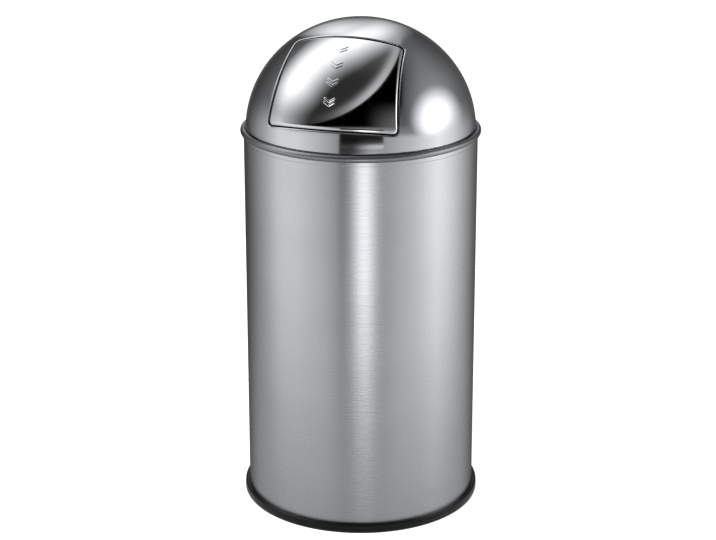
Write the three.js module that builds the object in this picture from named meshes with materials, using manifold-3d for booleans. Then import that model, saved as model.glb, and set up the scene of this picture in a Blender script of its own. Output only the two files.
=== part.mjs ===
// A free-standing dome top waste receptacle: a drum of rolled stainless steel sheet on a black base ring,
// a domed lid that lifts off, a sprung push flap hinged inside the dome, and a galvanised bucket with a
// bail. Millimetres, +Z up. The origin is on the floor under the middle of the drum. The flap faces -Y.
import * as THREE from 'three';
import { mergeVertices } from 'three/addons/utils/BufferGeometryUtils.js';
import Module from 'manifold-3d';

const wasm = await Module();
wasm.setup();

// ---- Driving dimensions ----------------------------------------------------------------------------

// Fits
const restGap = 0.3; // between pieces that rest on each other
const runningGap = 0.35; // round a pin or a wire in its hole

// Drum
const drumDiameter = 350;
const drumHeight = 574; // floor to the seat of the lid
const drumSheet = 0.9;
const hemHeight = 6; // the folded top edge
const hemStandOut = 0.6;

// Base ring
const ringStandOut = 7; // outside the drum
const ringHeight = 13;
const ringFloor = 3.6; // under the drum's edge
const ringReachIn = 16; // inside the drum's wall
const ringEdgeRadius = 2.6;

// Base plate
const plateSheet = 1;
const plateRise = 7.6; // of the dished middle over the rim
const plateRimWidth = 23;
const plateSlopeWidth = 6;
const plateFlange = 15; // the turned-up edge

// Base rivets
const rivetCount = 4;
const rivetInset = 10; // from the drum's wall to a rivet
const rivetShank = 1.9;
const rivetHead = 4.2;
const rivetHeadThick = 1;
const rivetSetRadius = 3.2; // the head that is formed inside
const rivetSetThick = 1.5;
const rivetChamfer = 0.6;
const rivetRecess = 1.8; // depth of the recess in the ring
const rivetRecessRadius = 5;

// Lid
const lidInset = 3; // the dome is this much smaller than the drum, all round
const lidSheet = 1;
const lidSkirt = 5; // straight part under the dome
const domeRise = 166;
const beadRadius = 4.7;
const beadStandOut = 8; // outside the dome

// Locating collar, inside the lid and the drum
const collarSheet = 1;
const collarDepth = 17; // into the drum
const collarGap = 0.8; // to the drum's wall
const collarBandHeight = 11; // inside the lid
const collarBandGap = 0.8; // to the lid's wall
const collarLeadIn = 2.5;

// Aperture, as seen along the way that it faces
const faceElevation = 41; // degrees over the horizon
const apertureTopHalf = 82;
const apertureBottomHalf = 98;
const apertureTop = 70.4; // over the line through the dome's centre
const apertureBottom = 68; // under that line, at the corners
const apertureSag = 13; // how much lower the bottom edge is in its middle
const apertureCorner = 9;
const lipDepth = 6;

// Push flap
const flapGap = 1.5; // to the aperture
const flapInset = 0.4; // under the dome's surface
const flapSheet = 1;
const flapFlange = 9.8; // depth of its turned edge

// Stop tabs on the flap, with their rubber bumpers
const tabOffset = 50; // from the middle to a tab
const tabWidth = 20;
const tabThick = 1.2;
const tabReach = 10; // behind the dome's edge
const tabRoot = 0.6; // past the inside of the flap's turned edge
const bumperWidth = 16;
const bumperSetBack = 1; // from the tab's end

// Hinge
const hingeDrop = 10.4; // under the aperture's top edge
const hingeDepth = 26; // under the dome's surface, at the brackets
const pinRadius = 2.5;
const pinOverhang = 3; // past each bracket
const bracketOffset = 68.5; // from the middle to a bracket
const bracketSheet = 1.5;
const bracketEye = 7;
const bracketFootWidth = 14;
const bracketFootLength = 16;
const bracketFootGap = 4; // over the aperture's lip
const bracketFlapClear = 1.2; // arm to the flap's turned edge
const earSheet = 1.5;
const earEye = 6.5;
const earFootWidth = 12;
const earFootLength = 24;
const earFootDrop = 3; // top of the foot under the top of the eye
const clipRadius = 5;
const clipThick = 0.9;
const clipMouth = 2.5; // the opening in its ring

// Torsion springs
const springWire = 1.2;
const springRadius = 5; // to the middle of the wire
const springPitch = 1.72;
const springCurls = 6; // whole turns that the legs are taken from
const springLegAcross = 22; // where the moving leg meets the flap, from the pin
const springLegUp = 32; // where the fixed leg meets the dome, from the pin
const springFlapGap = 0.84; // wire to the flap's back, along the way out
const springDomeGap = 1.2; // wire to the dome's inside, along the way out

// Bucket
const bucketSheet = 0.8;
const bucketClear = 19; // wall to the drum's wall, at the top
const bucketTaper = 14; // on the radius, over the whole height
const bucketTopDrop = 44; // rim under the lid's seat
const bucketBead = 3;
const bucketBaseRise = 6;
const bucketBaseFlange = 5;

// Bail, its ears and their rivets
const bailWire = 2.5;
const bailClear = 12; // bail's arc outside the bucket's wall
const bailStandOff = 3.8; // middle of its wire outside the rim, where it leans on the bucket
const gripRadius = 5.4;
const gripLength = 93; // along the bail's arc
const bucketEarWidth = 24;
const bucketEarSheet = 1.6;
const bucketEarJoggle = 5;
const bucketEarFoot = 20;
const bucketEarEye = 16;
const bucketEarDrop = 4; // top of the ear under the rim's bead
const earRivetSpacing = 12;
const earRivetShank = 1.6;
const earRivetHead = 3.2;
const earRivetHeadThick = 1.2;

// How finely round shapes are stepped
const roundSteps = 48;
const domeSteps = 10;
const beadSteps = 6;
const tubeSides = 8;
const bailSteps = 44;
const gripSteps = 8;
const smallSides = 12;
const springSides = 5;
const springStepsPerCurl = 8;
const edgeSteps = 3;
const eyeSteps = 6;
const apertureSteps = 6;

// ---- Sizes worked out from them --------------------------------------------------------------------

const drumRadius = drumDiameter / 2;
const drumBore = drumRadius - drumSheet;
const drumFoot = ringFloor + restGap;
const drumTop = drumHeight - restGap;
const plateTop = drumFoot + plateSheet + plateRise;
const lidRadius = drumRadius - lidInset;
const domeCentreHeight = drumHeight + lidSkirt;
const bucketFoot = plateTop + restGap;
const bucketTop = drumHeight - bucketTopDrop;
const bucketRadius = drumBore - bucketClear;
const cutPast = 1; // how far a cutter runs past what it cuts

// ---- Looks of the materials ------------------------------------------------------------------------

const finishes = {
  satinSteel: new THREE.MeshStandardMaterial({ color: 0xb9bbbf, roughness: 0.34, metalness: 1 }),
  polishedSteel: new THREE.MeshStandardMaterial({ color: 0xd0d0d4, roughness: 0.05, metalness: 1 }),
  zincedSteel: new THREE.MeshStandardMaterial({ color: 0xa5a9ac, roughness: 0.45, metalness: 1 }),
  springSteel: new THREE.MeshStandardMaterial({ color: 0x77787c, roughness: 0.3, metalness: 1 }),
  blackRubber: new THREE.MeshStandardMaterial({ color: 0x141416, roughness: 0.4, metalness: 0 }),
  blackPlastic: new THREE.MeshStandardMaterial({ color: 0x1c1c1e, roughness: 0.45, metalness: 0 }),
};

// ---- Making and cutting solids ---------------------------------------------------------------------

// A closed mesh with its vertices merged, and without the triangles that a point on the axis leaves flat.
function closedMesh(geometry) {
  const bare = geometry.clone();
  bare.deleteAttribute('normal');
  bare.deleteAttribute('uv');
  const merged = mergeVertices(bare, 1e-4);
  const corners = merged.index.array;
  const kept = [];
  for (let i = 0; i < corners.length; i += 3) {
    const [a, b, c] = [corners[i], corners[i + 1], corners[i + 2]];
    if (a !== b && b !== c && c !== a) kept.push(a, b, c);
  }
  merged.setIndex(kept);
  return merged;
}

function solidOf(geometry) {
  const mesh = closedMesh(geometry);
  return new wasm.Manifold(
    new wasm.Mesh({
      numProp: 3,
      vertProperties: new Float32Array(mesh.attributes.position.array),
      triVerts: new Uint32Array(mesh.index.array),
    }),
  );
}

function geometryOf(solid) {
  const mesh = solid.getMesh();
  const geometry = new THREE.BufferGeometry();
  geometry.setAttribute('position', new THREE.BufferAttribute(mesh.vertProperties, 3));
  geometry.setIndex(new THREE.BufferAttribute(mesh.triVerts, 1));
  const faceted = geometry.toNonIndexed();
  faceted.computeVertexNormals();
  return faceted;
}

// A solid of revolution about Z. The profile's [radius, height] points run up the outer side.
function turned(profile, steps = roundSteps) {
  const geometry = new THREE.LatheGeometry(
    profile.map(([radius, height]) => new THREE.Vector2(radius, height)),
    steps,
  );
  return geometry.rotateX(Math.PI / 2);
}

// A ring's profile closes on itself.
const turnedRing = (profile) => turned([...profile, profile[0]]);

// [radius, height] points on an arc, with angles in degrees from the outward direction.
function arc(radius, height, size, from, to, steps) {
  return Array.from({ length: steps + 1 }, (_, i) => {
    const angle = THREE.MathUtils.degToRad(from + ((to - from) * i) / steps);
    return [radius + size * Math.cos(angle), height + size * Math.sin(angle)];
  });
}

function extruded(shape, depth) {
  return new THREE.ExtrudeGeometry(shape, { depth, bevelEnabled: false, curveSegments: apertureSteps });
}

const polygon = (points) => new THREE.Shape(points.map(([x, y]) => new THREE.Vector2(x, y)));

// A rod along X from one end to the other, its middle line at (y, z).
function rodAlongX(radius, from, to, y = 0, z = 0, sides = smallSides) {
  const rod = new THREE.CylinderGeometry(radius, radius, to - from, sides);
  return rod.rotateZ(-Math.PI / 2).translate((from + to) / 2, y, z);
}

function tubeAlong(curve, radius, sides, steps) {
  const section = polygon(
    Array.from({ length: sides }, (_, i) => {
      const angle = (2 * Math.PI * i) / sides;
      return [radius * Math.cos(angle), radius * Math.sin(angle)];
    }),
  );
  return new THREE.ExtrudeGeometry(section, { steps, extrudePath: curve, bevelEnabled: false });
}

// ---- The dome's own frame --------------------------------------------------------------------------

// The lid's pieces are drawn about the dome's centre. The face frame turns X, Y and Z there into across,
// up and out of the aperture.
const faceTurn = new THREE.Matrix4().makeRotationX(THREE.MathUtils.degToRad(90 - faceElevation));
const inFace = (geometry) => geometry.applyMatrix4(faceTurn);

// The dome as a full body, its surface moved out by the given amount, down to a flat bottom.
function domeBody(outward, bottom) {
  const radius = lidRadius + outward;
  const rise = domeRise + outward;
  const curve = Array.from({ length: domeSteps + 1 }, (_, i) => {
    const angle = (Math.PI / 2) * (i / domeSteps);
    return [i === domeSteps ? 0 : radius * Math.cos(angle), rise * Math.sin(angle)];
  });
  return solidOf(turned([[0, bottom], [radius, bottom], ...curve]));
}

// The part of the dome between two depths under its surface.
const domeLayer = (from, to) => domeBody(-from, -lidSkirt).subtract(domeBody(-to, -lidSkirt - cutPast));

// A block along the way out of the aperture, from beside the dome's centre to past its surface.
function column(width, height, across, up) {
  const reach = lidRadius + domeRise;
  return solidOf(inFace(new THREE.BoxGeometry(width, height, reach).translate(across, up, reach / 2)));
}

// How far out of the dome's centre, in the face frame, its surface lies at a place across and up.
function surfaceOut(across, up, depth) {
  const turn = THREE.MathUtils.degToRad(faceElevation);
  const radius = lidRadius - depth;
  const rise = domeRise - depth;
  const [back, high] = [up * Math.sin(turn), up * Math.cos(turn)];
  const a = (Math.cos(turn) / radius) ** 2 + (Math.sin(turn) / rise) ** 2;
  const b = (-back * Math.cos(turn)) / radius ** 2 + (high * Math.sin(turn)) / rise ** 2;
  const c = (across ** 2 + back ** 2) / radius ** 2 + (high / rise) ** 2 - 1;
  return (-b + Math.sqrt(b * b - a * c)) / a;
}

// The aperture's outline, grown by a margin: a trapezium with round corners and a bowed bottom edge.
function apertureShape(margin) {
  const low = -apertureBottom - margin;
  const corners = [
    new THREE.Vector2(-apertureTopHalf - margin, apertureTop + margin),
    new THREE.Vector2(-apertureBottomHalf - margin, low),
    new THREE.Vector2(apertureBottomHalf + margin, low),
    new THREE.Vector2(apertureTopHalf + margin, apertureTop + margin),
  ];
  const bow = new THREE.Vector2(0, low - 2 * apertureSag);
  const round = apertureCorner + margin;
  const towards = (from, to) => to.clone().sub(from).setLength(round).add(from);
  const [topLeft, bottomLeft, bottomRight, topRight] = corners;
  const shape = new THREE.Shape();
  const turnCorner = (before, corner, after) => {
    const start = towards(corner, before);
    const end = towards(corner, after);
    shape.lineTo(start.x, start.y);
    shape.quadraticCurveTo(corner.x, corner.y, end.x, end.y);
  };
  const first = towards(topLeft, bottomLeft);
  shape.moveTo(first.x, first.y);
  turnCorner(topLeft, bottomLeft, bow);
  const bowEnd = towards(bottomRight, bow);
  shape.quadraticCurveTo(bow.x, bow.y, bowEnd.x, bowEnd.y);
  const afterBow = towards(bottomRight, topRight);
  shape.quadraticCurveTo(bottomRight.x, bottomRight.y, afterBow.x, afterBow.y);
  turnCorner(bottomRight, topRight, topLeft);
  const beforeFirst = towards(topLeft, topRight);
  shape.lineTo(beforeFirst.x, beforeFirst.y);
  shape.quadraticCurveTo(topLeft.x, topLeft.y, first.x, first.y);
  return shape;
}

// A prism of that outline, from the dome's centre out past its surface.
const aperturePrism = (margin) => solidOf(inFace(extruded(apertureShape(margin), lidRadius + domeRise)));

const hingeUp = apertureTop - hingeDrop;
const hingeOut = surfaceOut(bracketOffset, hingeUp, 0) - hingeDepth;

// ---- Drum and base ---------------------------------------------------------------------------------

function rivetPlaces() {
  const radius = drumRadius - rivetInset;
  return Array.from({ length: rivetCount }, (_, i) => {
    const angle = (2 * Math.PI * (i + 0.5)) / rivetCount;
    return [radius * Math.cos(angle), radius * Math.sin(angle)];
  });
}

function drilled(solid, radius, from, to) {
  const hole = new THREE.CylinderGeometry(radius, radius, to - from, smallSides).rotateX(Math.PI / 2);
  return rivetPlaces().reduce(
    (left, [x, y]) => left.subtract(solidOf(hole.clone().translate(x, y, (from + to) / 2))),
    solid,
  );
}

function baseRing() {
  const outer = drumRadius + ringStandOut;
  const inner = drumRadius - ringReachIn;
  const groove = drumRadius + restGap;
  const edge = ringEdgeRadius;
  const ring = turnedRing([
    [inner, 0],
    ...arc(outer - edge / 2, edge / 2, edge / 2, -90, 0, edgeSteps - 1),
    ...arc(outer - edge, ringHeight - edge, edge, 0, 90, edgeSteps),
    [groove, ringHeight],
    [groove, ringFloor],
    [inner, ringFloor],
  ]);
  const recessed = drilled(solidOf(ring), rivetRecessRadius, -cutPast, rivetRecess);
  return geometryOf(drilled(recessed, rivetShank + restGap, -cutPast, ringFloor + cutPast));
}

function basePlate() {
  const edge = drumBore - restGap;
  const low = drumFoot;
  const rimIn = drumRadius - plateRimWidth;
  const slopeIn = rimIn - plateSlopeWidth;
  const plate = turned([
    [0, low + plateRise],
    [slopeIn, low + plateRise],
    [rimIn, low],
    [edge, low],
    [edge, low + plateFlange],
    [edge - plateSheet, low + plateFlange],
    [edge - plateSheet, low + plateSheet],
    [rimIn + plateSheet / 2, low + plateSheet],
    [slopeIn + plateSheet / 2, plateTop],
    [0, plateTop],
  ]);
  return geometryOf(drilled(solidOf(plate), rivetShank + restGap, 0, low + 2 * plateSheet));
}

function baseRivet() {
  const headTop = rivetRecess - restGap;
  const setFoot = drumFoot + plateSheet + restGap;
  return turned(
    [
      [0, headTop - rivetHeadThick],
      [rivetHead - rivetChamfer, headTop - rivetHeadThick],
      [rivetHead, headTop],
      [rivetShank, headTop],
      [rivetShank, setFoot],
      [rivetSetRadius, setFoot],
      [rivetSetRadius - rivetChamfer, setFoot + rivetSetThick],
      [0, setFoot + rivetSetThick],
    ],
    smallSides,
  );
}

function drumShell() {
  const hem = drumRadius + hemStandOut;
  return turnedRing([
    [drumBore, drumFoot],
    [drumRadius, drumFoot],
    [drumRadius, drumTop - hemHeight - hemStandOut],
    [hem, drumTop - hemHeight],
    [hem, drumTop - hemStandOut],
    [hem - hemStandOut, drumTop],
    [drumBore, drumTop],
  ]);
}

// ---- Lid -------------------------------------------------------------------------------------------

function lidDome() {
  const shell = domeLayer(0, lidSheet);
  const lip = aperturePrism(lidSheet).subtract(aperturePrism(0)).intersect(domeLayer(0, lipDepth));
  const beadMiddle = lidRadius + beadStandOut - beadRadius;
  const bead = turnedRing([
    [lidRadius - lidSheet / 2, -lidSkirt],
    ...arc(beadMiddle, beadRadius - lidSkirt, beadRadius, -90, 120, beadSteps),
    [lidRadius - lidSheet / 2, 2 * beadRadius - lidSkirt - lidSheet],
  ]);
  return geometryOf(shell.add(solidOf(bead)).subtract(aperturePrism(0)).add(lip));
}

function lidCollar() {
  const band = lidRadius - lidSheet - collarBandGap;
  const ring = drumBore - collarGap;
  const top = collarBandHeight - lidSkirt;
  const ledge = -lidSkirt - 2 * restGap;
  const low = -lidSkirt - collarDepth;
  return turnedRing([
    [ring - collarSheet - collarLeadIn / 2, low],
    [ring - collarLeadIn / 2, low],
    [ring, low + collarLeadIn],
    [ring, ledge],
    [band, ledge],
    [band, top],
    [band - collarSheet, top],
    [band - collarSheet, ledge - collarSheet],
    [ring - collarSheet, ledge - collarSheet],
    [ring - collarSheet, low + collarLeadIn],
  ]);
}

// A plate standing across the face frame's X, drawn by its [up, out] points.
function standingPlate(points, from, thick) {
  const plate = extruded(polygon(points), thick);
  // the shape's X and Y become up and out, and its depth becomes across
  const turn = new THREE.Matrix4().makeBasis(
    new THREE.Vector3(0, 1, 0),
    new THREE.Vector3(0, 0, 1),
    new THREE.Vector3(1, 0, 0),
  );
  return plate.applyMatrix4(turn).translate(from, 0, 0);
}

// Points round the pin's far side, from over it to under it.
const roundThePin = (radius) => arc(hingeUp, hingeOut, radius, 90, 270, eyeSteps);

function pinHole(radius) {
  const reach = bracketOffset + bracketFootWidth;
  return solidOf(inFace(rodAlongX(radius, -reach, reach, hingeUp, hingeOut)));
}

// side is 1 at +X and -1 at -X
function mirrored(geometry, side) {
  if (side === 1) return geometry;
  const flipped = geometry.clone().scale(-1, 1, 1);
  const { array } = flipped.attributes.position;
  for (let i = 0; i < array.length; i += 9) {
    for (let k = 0; k < 3; k += 1) {
      [array[i + k], array[i + 3 + k]] = [array[i + 3 + k], array[i + k]];
    }
  }
  flipped.computeVertexNormals();
  return flipped;
}

function hingeBracket(side) {
  const footLow = apertureTop + lidSheet + bracketFootGap;
  const footHigh = footLow + bracketFootLength;
  const arm = standingPlate(
    [
      ...roundThePin(bracketEye),
      [footHigh, hingeOut - bracketEye],
      [footHigh, lidRadius],
      [footLow, lidRadius],
      [footLow, hingeOut + bracketEye / 2],
    ],
    bracketOffset,
    bracketSheet,
  );
  const footAcross = bracketOffset + bracketFootWidth / 2;
  const foot = column(bracketFootWidth, bracketFootLength, footAcross, (footLow + footHigh) / 2);
  const under = lidSheet + restGap;
  const flapSpace = aperturePrism(bracketFlapClear - flapGap)
    .intersect(domeLayer(0, flapInset + flapFlange + bracketFlapClear));
  const armSolid = solidOf(inFace(arm)).intersect(domeBody(-under, -lidSkirt)).subtract(flapSpace);
  const footSolid = foot.intersect(domeLayer(under, under + bracketSheet));
  return mirrored(geometryOf(armSolid.add(footSolid).subtract(pinHole(pinRadius + runningGap))), side);
}

function hingePin() {
  const reach = bracketOffset + bracketSheet + pinOverhang;
  return inFace(rodAlongX(pinRadius, -reach, reach, hingeUp, hingeOut));
}

// An open ring snapped on the pin outside a bracket.
function hingeClip(side) {
  const from = bracketOffset + bracketSheet + restGap;
  const to = from + clipThick;
  const disc = solidOf(rodAlongX(clipRadius, from, to, hingeUp, hingeOut));
  const bore = solidOf(rodAlongX(pinRadius + restGap, from - cutPast, to + cutPast, hingeUp, hingeOut));
  const mouth = new THREE.BoxGeometry(2 * (clipThick + cutPast), 2 * clipRadius, clipMouth);
  mouth.translate(from, hingeUp - clipRadius, hingeOut);
  return mirrored(inFace(geometryOf(disc.subtract(bore).subtract(solidOf(mouth)))), side);
}

// ---- Push flap -------------------------------------------------------------------------------------

const flapBack = flapInset + flapSheet;

function pushFlap() {
  const skin = aperturePrism(-flapGap).intersect(domeLayer(flapInset, flapBack));
  const flange = aperturePrism(-flapGap)
    .subtract(aperturePrism(-flapGap - flapSheet))
    .intersect(domeLayer(flapInset, flapInset + flapFlange));
  return geometryOf([-1, 1].reduce((flap, side) => flap.add(stopTab(side)), skin.add(flange)));
}

// How low the aperture's bottom edge is at a place across.
function apertureEdge(across) {
  return -apertureBottom - apertureSag * (1 - (across / apertureBottomHalf) ** 2);
}

function stopTab(side) {
  const edge = apertureEdge(tabOffset);
  const low = edge - tabReach;
  const high = edge + flapGap + flapSheet + tabRoot;
  const deep = flapInset + flapFlange;
  const tab = column(tabWidth, high - low, side * tabOffset, (low + high) / 2);
  return tab.intersect(domeLayer(deep - tabThick, deep));
}

function bumper(side) {
  const edge = apertureEdge(tabOffset);
  const low = edge - tabReach + bumperSetBack;
  const high = apertureEdge(tabOffset - bumperWidth / 2) + flapGap - 2 * restGap;
  const tabFace = flapInset + flapFlange - tabThick;
  const pad = column(bumperWidth, high - low, side * tabOffset, (low + high) / 2);
  return geometryOf(pad.intersect(domeLayer(lipDepth + restGap, tabFace - restGap)));
}

// The ear's inner face stands this far from the middle, beside the spring's coil.
const springSpace = springPitch * springCurls + 2 * springWire;
const earOffset = bracketOffset - springSpace - earSheet;

function flapEar(side) {
  const high = hingeUp + earEye - earFootDrop;
  const low = high - earFootLength;
  const plate = standingPlate(
    [
      ...arc(hingeUp, hingeOut, earEye, 200, 360, eyeSteps),
      [high, hingeOut + 2 * earEye],
      [high, lidRadius],
      [low, lidRadius],
      [low, surfaceOut(earOffset, low, 0) - earEye],
    ],
    earOffset,
    earSheet,
  );
  const footAcross = earOffset + earSheet - earFootWidth / 2;
  const foot = column(earFootWidth, earFootLength, footAcross, (low + high) / 2);
  const under = flapBack + restGap;
  const plateSolid = solidOf(inFace(plate)).intersect(domeBody(-under, -lidSkirt));
  const footSolid = foot.intersect(domeLayer(under, under + earSheet));
  return mirrored(geometryOf(plateSolid.add(footSolid).subtract(pinHole(pinRadius + runningGap))), side);
}

// ---- Torsion springs -------------------------------------------------------------------------------

// The wire's middle line: a straight leg from the flap, the coil round the pin, and a straight leg to the
// dome. It is wound so that opening the flap winds it tighter.
class SpringPath extends THREE.Curve {
  constructor() {
    super();
    const coilEnd = bracketOffset - springWire;
    const flapLegX = coilEnd - springPitch * springCurls;
    const flapSeat = surfaceOut(flapLegX, hingeUp - springLegAcross, flapBack) - springFlapGap;
    const domeSeat = surfaceOut(coilEnd, hingeUp + springLegUp, lidSheet) - springDomeGap;
    this.flapEnd = [-springLegAcross, flapSeat - springWire / 2 - hingeOut];
    this.domeEnd = [springLegUp, domeSeat - springWire / 2 - hingeOut];
    const lean = ([up, out]) => Math.acos(springRadius / Math.hypot(up, out));
    const bearing = ([up, out]) => Math.atan2(out, up);
    this.from = bearing(this.flapEnd) - lean(this.flapEnd);
    this.to = bearing(this.domeEnd) + lean(this.domeEnd) - 2 * Math.PI * springCurls;
    this.coilStart = coilEnd + (springPitch * (this.to - this.from)) / (2 * Math.PI);
    this.coilEnd = coilEnd;
    const legs = [this.flapEnd, this.domeEnd].map(([up, out]) =>
      Math.sqrt(up ** 2 + out ** 2 - springRadius ** 2),
    );
    const coil = Math.hypot(springRadius * (this.from - this.to), this.coilEnd - this.coilStart);
    const total = legs[0] + coil + legs[1];
    this.firstLeg = legs[0] / total;
    this.lastLeg = legs[1] / total;
    this.curls = (this.from - this.to) / (2 * Math.PI);
    this.curlShare = coil / total / this.curls;
  }

  onCoil(share) {
    const angle = this.from + (this.to - this.from) * share;
    const across = THREE.MathUtils.lerp(this.coilStart, this.coilEnd, share);
    return [springRadius * Math.cos(angle), springRadius * Math.sin(angle), across];
  }

  getPoint(t, target = new THREE.Vector3()) {
    let up;
    let out;
    let across;
    if (t < this.firstLeg) {
      const share = t / this.firstLeg;
      const [coilUp, coilOut] = this.onCoil(0);
      up = THREE.MathUtils.lerp(this.flapEnd[0], coilUp, share);
      out = THREE.MathUtils.lerp(this.flapEnd[1], coilOut, share);
      across = this.coilStart;
    } else if (t > 1 - this.lastLeg) {
      const share = (t - 1 + this.lastLeg) / this.lastLeg;
      const [coilUp, coilOut] = this.onCoil(1);
      up = THREE.MathUtils.lerp(coilUp, this.domeEnd[0], share);
      out = THREE.MathUtils.lerp(coilOut, this.domeEnd[1], share);
      across = this.coilEnd;
    } else {
      [up, out, across] = this.onCoil((t - this.firstLeg) / (1 - this.firstLeg - this.lastLeg));
    }
    return target.set(across, hingeUp + up, hingeOut + out);
  }
}

// The least distance between the wire's own surfaces, between points half a curl or more apart.
function leastGapToItself(path, wire) {
  const samplesPerCurl = 40;
  const samples = Math.round(samplesPerCurl / path.curlShare);
  const points = path.getSpacedPoints(samples);
  const apart = Math.round((samples * path.curlShare) / 2);
  let least = Infinity;
  for (let i = 0; i < points.length; i += 1) {
    for (let k = i + apart; k < points.length; k += 1) {
      least = Math.min(least, points[i].distanceTo(points[k]) - wire);
    }
  }
  return least;
}

function torsionSpring(side) {
  const path = new SpringPath();
  console.log(`torsion spring: least gap to itself ${leastGapToItself(path, springWire).toFixed(2)} mm`);
  const steps = Math.round(springStepsPerCurl / path.curlShare);
  path.arcLengthDivisions = 40 * steps;
  const wire = tubeAlong(path, springWire / 2, springSides, steps);
  return mirrored(closedMesh(inFace(wire)).toNonIndexed(), side);
}

// ---- Bucket ----------------------------------------------------------------------------------------

const bucketRadiusAt = (height) =>
  bucketRadius - (bucketTaper * (bucketTop - height)) / (bucketTop - bucketFoot);

const earTop = bucketTop - 2 * bucketBead - bucketEarDrop;
const pivotHeight = earTop - bucketEarEye / 2;
const earRivetHeight = earTop - bucketEarEye - bucketEarJoggle - bucketEarFoot / 2;
const earWallX = bucketRadius + restGap;
const earEyeX = earWallX + bucketEarJoggle;

function earRivetHoles(radius) {
  const reach = bucketRadius + 4 * bucketEarJoggle;
  return [-1, 1].map((row) =>
    solidOf(rodAlongX(radius, -reach, reach, (row * earRivetSpacing) / 2, earRivetHeight)),
  );
}

function bucketWall() {
  const foot = bucketRadiusAt(bucketFoot);
  const beadMiddle = bucketTop - bucketBead;
  const wall = turnedRing([
    [foot - bucketSheet, bucketFoot],
    [foot, bucketFoot],
    [bucketRadiusAt(bucketTop - 2 * bucketBead), bucketTop - 2 * bucketBead],
    ...arc(bucketRadius + bucketBead / 2, beadMiddle, bucketBead, -60, 90, 4),
    [bucketRadius - bucketSheet, bucketTop - bucketSheet],
    [bucketRadiusAt(bucketTop - 2 * bucketBead) - bucketSheet, bucketTop - 2 * bucketBead],
  ]);
  const holes = earRivetHoles(earRivetShank + restGap);
  return geometryOf(holes.reduce((left, hole) => left.subtract(hole), solidOf(wall)));
}

function bucketBase() {
  const inside = (height) => bucketRadiusAt(height) - bucketSheet - restGap;
  const top = bucketFoot + bucketBaseRise;
  const low = top - bucketBaseFlange;
  return turned([
    [0, top - bucketSheet],
    [inside(top) - bucketSheet, top - bucketSheet],
    [inside(low) - bucketSheet, low],
    [inside(low), low],
    [inside(top), top],
    [0, top],
  ]);
}

// A joggled strap, riveted to the wall by its foot, with an eye for the bail.
function bucketEar(side) {
  const foot = earTop - bucketEarEye - bucketEarJoggle - bucketEarFoot;
  const sheet = bucketEarSheet;
  const bendLow = foot + bucketEarFoot;
  const bendHigh = bendLow + bucketEarJoggle;
  const profile = polygon([
    [earWallX, foot],
    [earWallX + sheet, foot],
    [earWallX + sheet, bendLow - sheet / 2],
    [earEyeX + sheet, bendHigh - sheet / 2],
    [earEyeX + sheet, earTop],
    [earEyeX, earTop],
    [earEyeX, bendHigh],
    [earWallX, bendLow],
  ]);
  const strap = extruded(profile, bucketEarWidth).translate(0, 0, -bucketEarWidth / 2).rotateX(Math.PI / 2);
  const eye = solidOf(
    rodAlongX(bailWire + runningGap, earWallX, earEyeX + 4 * sheet, 0, pivotHeight),
  );
  const ear = [...earRivetHoles(earRivetShank + restGap), eye].reduce(
    (left, hole) => left.subtract(hole),
    solidOf(strap),
  );
  return mirrored(geometryOf(ear), side);
}

function earRivet() {
  const inner = bucketRadiusAt(earRivetHeight - earRivetHead) - bucketSheet;
  const wall = inner * Math.cos(Math.PI / roundSteps);
  const wallIn = Math.sqrt(wall ** 2 - (earRivetSpacing / 2 + earRivetHead) ** 2) - restGap;
  const strapOut = earWallX + bucketEarSheet + restGap;
  const rivet = turned(
    [
      [0, wallIn - earRivetHeadThick],
      [earRivetHead - rivetChamfer, wallIn - earRivetHeadThick],
      [earRivetHead, wallIn],
      [earRivetShank, wallIn],
      [earRivetShank, strapOut],
      [earRivetHead, strapOut],
      [earRivetHead - rivetChamfer, strapOut + earRivetHeadThick],
      [0, strapOut + earRivetHeadThick],
    ],
    smallSides,
  );
  return rivet.rotateY(Math.PI / 2);
}

// ---- Bail ------------------------------------------------------------------------------------------

const bailRadius = bucketRadius + bailClear;
const bailRestAngle = Math.acos((bucketRadius + bailStandOff) / bailRadius); // under the horizontal

// The bail is drawn in its own plane: X across the bucket and Y away from the pivots.
class ArcCurve extends THREE.Curve {
  constructor(radius, from, to) {
    super();
    Object.assign(this, { radius, from, to });
  }

  getPoint(t, target = new THREE.Vector3()) {
    const angle = THREE.MathUtils.lerp(this.from, this.to, t);
    return target.set(this.radius * Math.cos(angle), this.radius * Math.sin(angle), 0);
  }
}

// A half ring of wire, with an end turned in through each ear.
function bailHoop() {
  const pastPivot = bailWire / bailRadius;
  const halfRing = new ArcCurve(bailRadius, -pastPivot, Math.PI + pastPivot);
  const hoop = solidOf(tubeAlong(halfRing, bailWire, tubeSides, bailSteps));
  const end = rodAlongX(bailWire, earEyeX - bucketEarJoggle / 2, bailRadius, 0, 0, tubeSides);
  return geometryOf(hoop.add(solidOf(end)).add(solidOf(end.clone().rotateZ(Math.PI))));
}

function bailGrip() {
  const half = gripLength / 2 / bailRadius;
  const boreHalf = half + cutPast / bailRadius;
  const sleeve = new ArcCurve(bailRadius, Math.PI / 2 - half, Math.PI / 2 + half);
  const bore = new ArcCurve(bailRadius, Math.PI / 2 - boreHalf, Math.PI / 2 + boreHalf);
  const outside = solidOf(tubeAlong(sleeve, gripRadius, tubeSides, gripSteps));
  const inside = solidOf(tubeAlong(bore, bailWire + 2 * restGap, tubeSides, gripSteps));
  return geometryOf(outside.subtract(inside));
}

// ---- Assembly --------------------------------------------------------------------------------------

const bin = new THREE.Group();

function add(name, geometry, finish, parent = bin) {
  const mesh = new THREE.Mesh(geometry, finishes[finish]);
  mesh.name = name;
  parent.add(mesh);
  return mesh;
}

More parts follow.
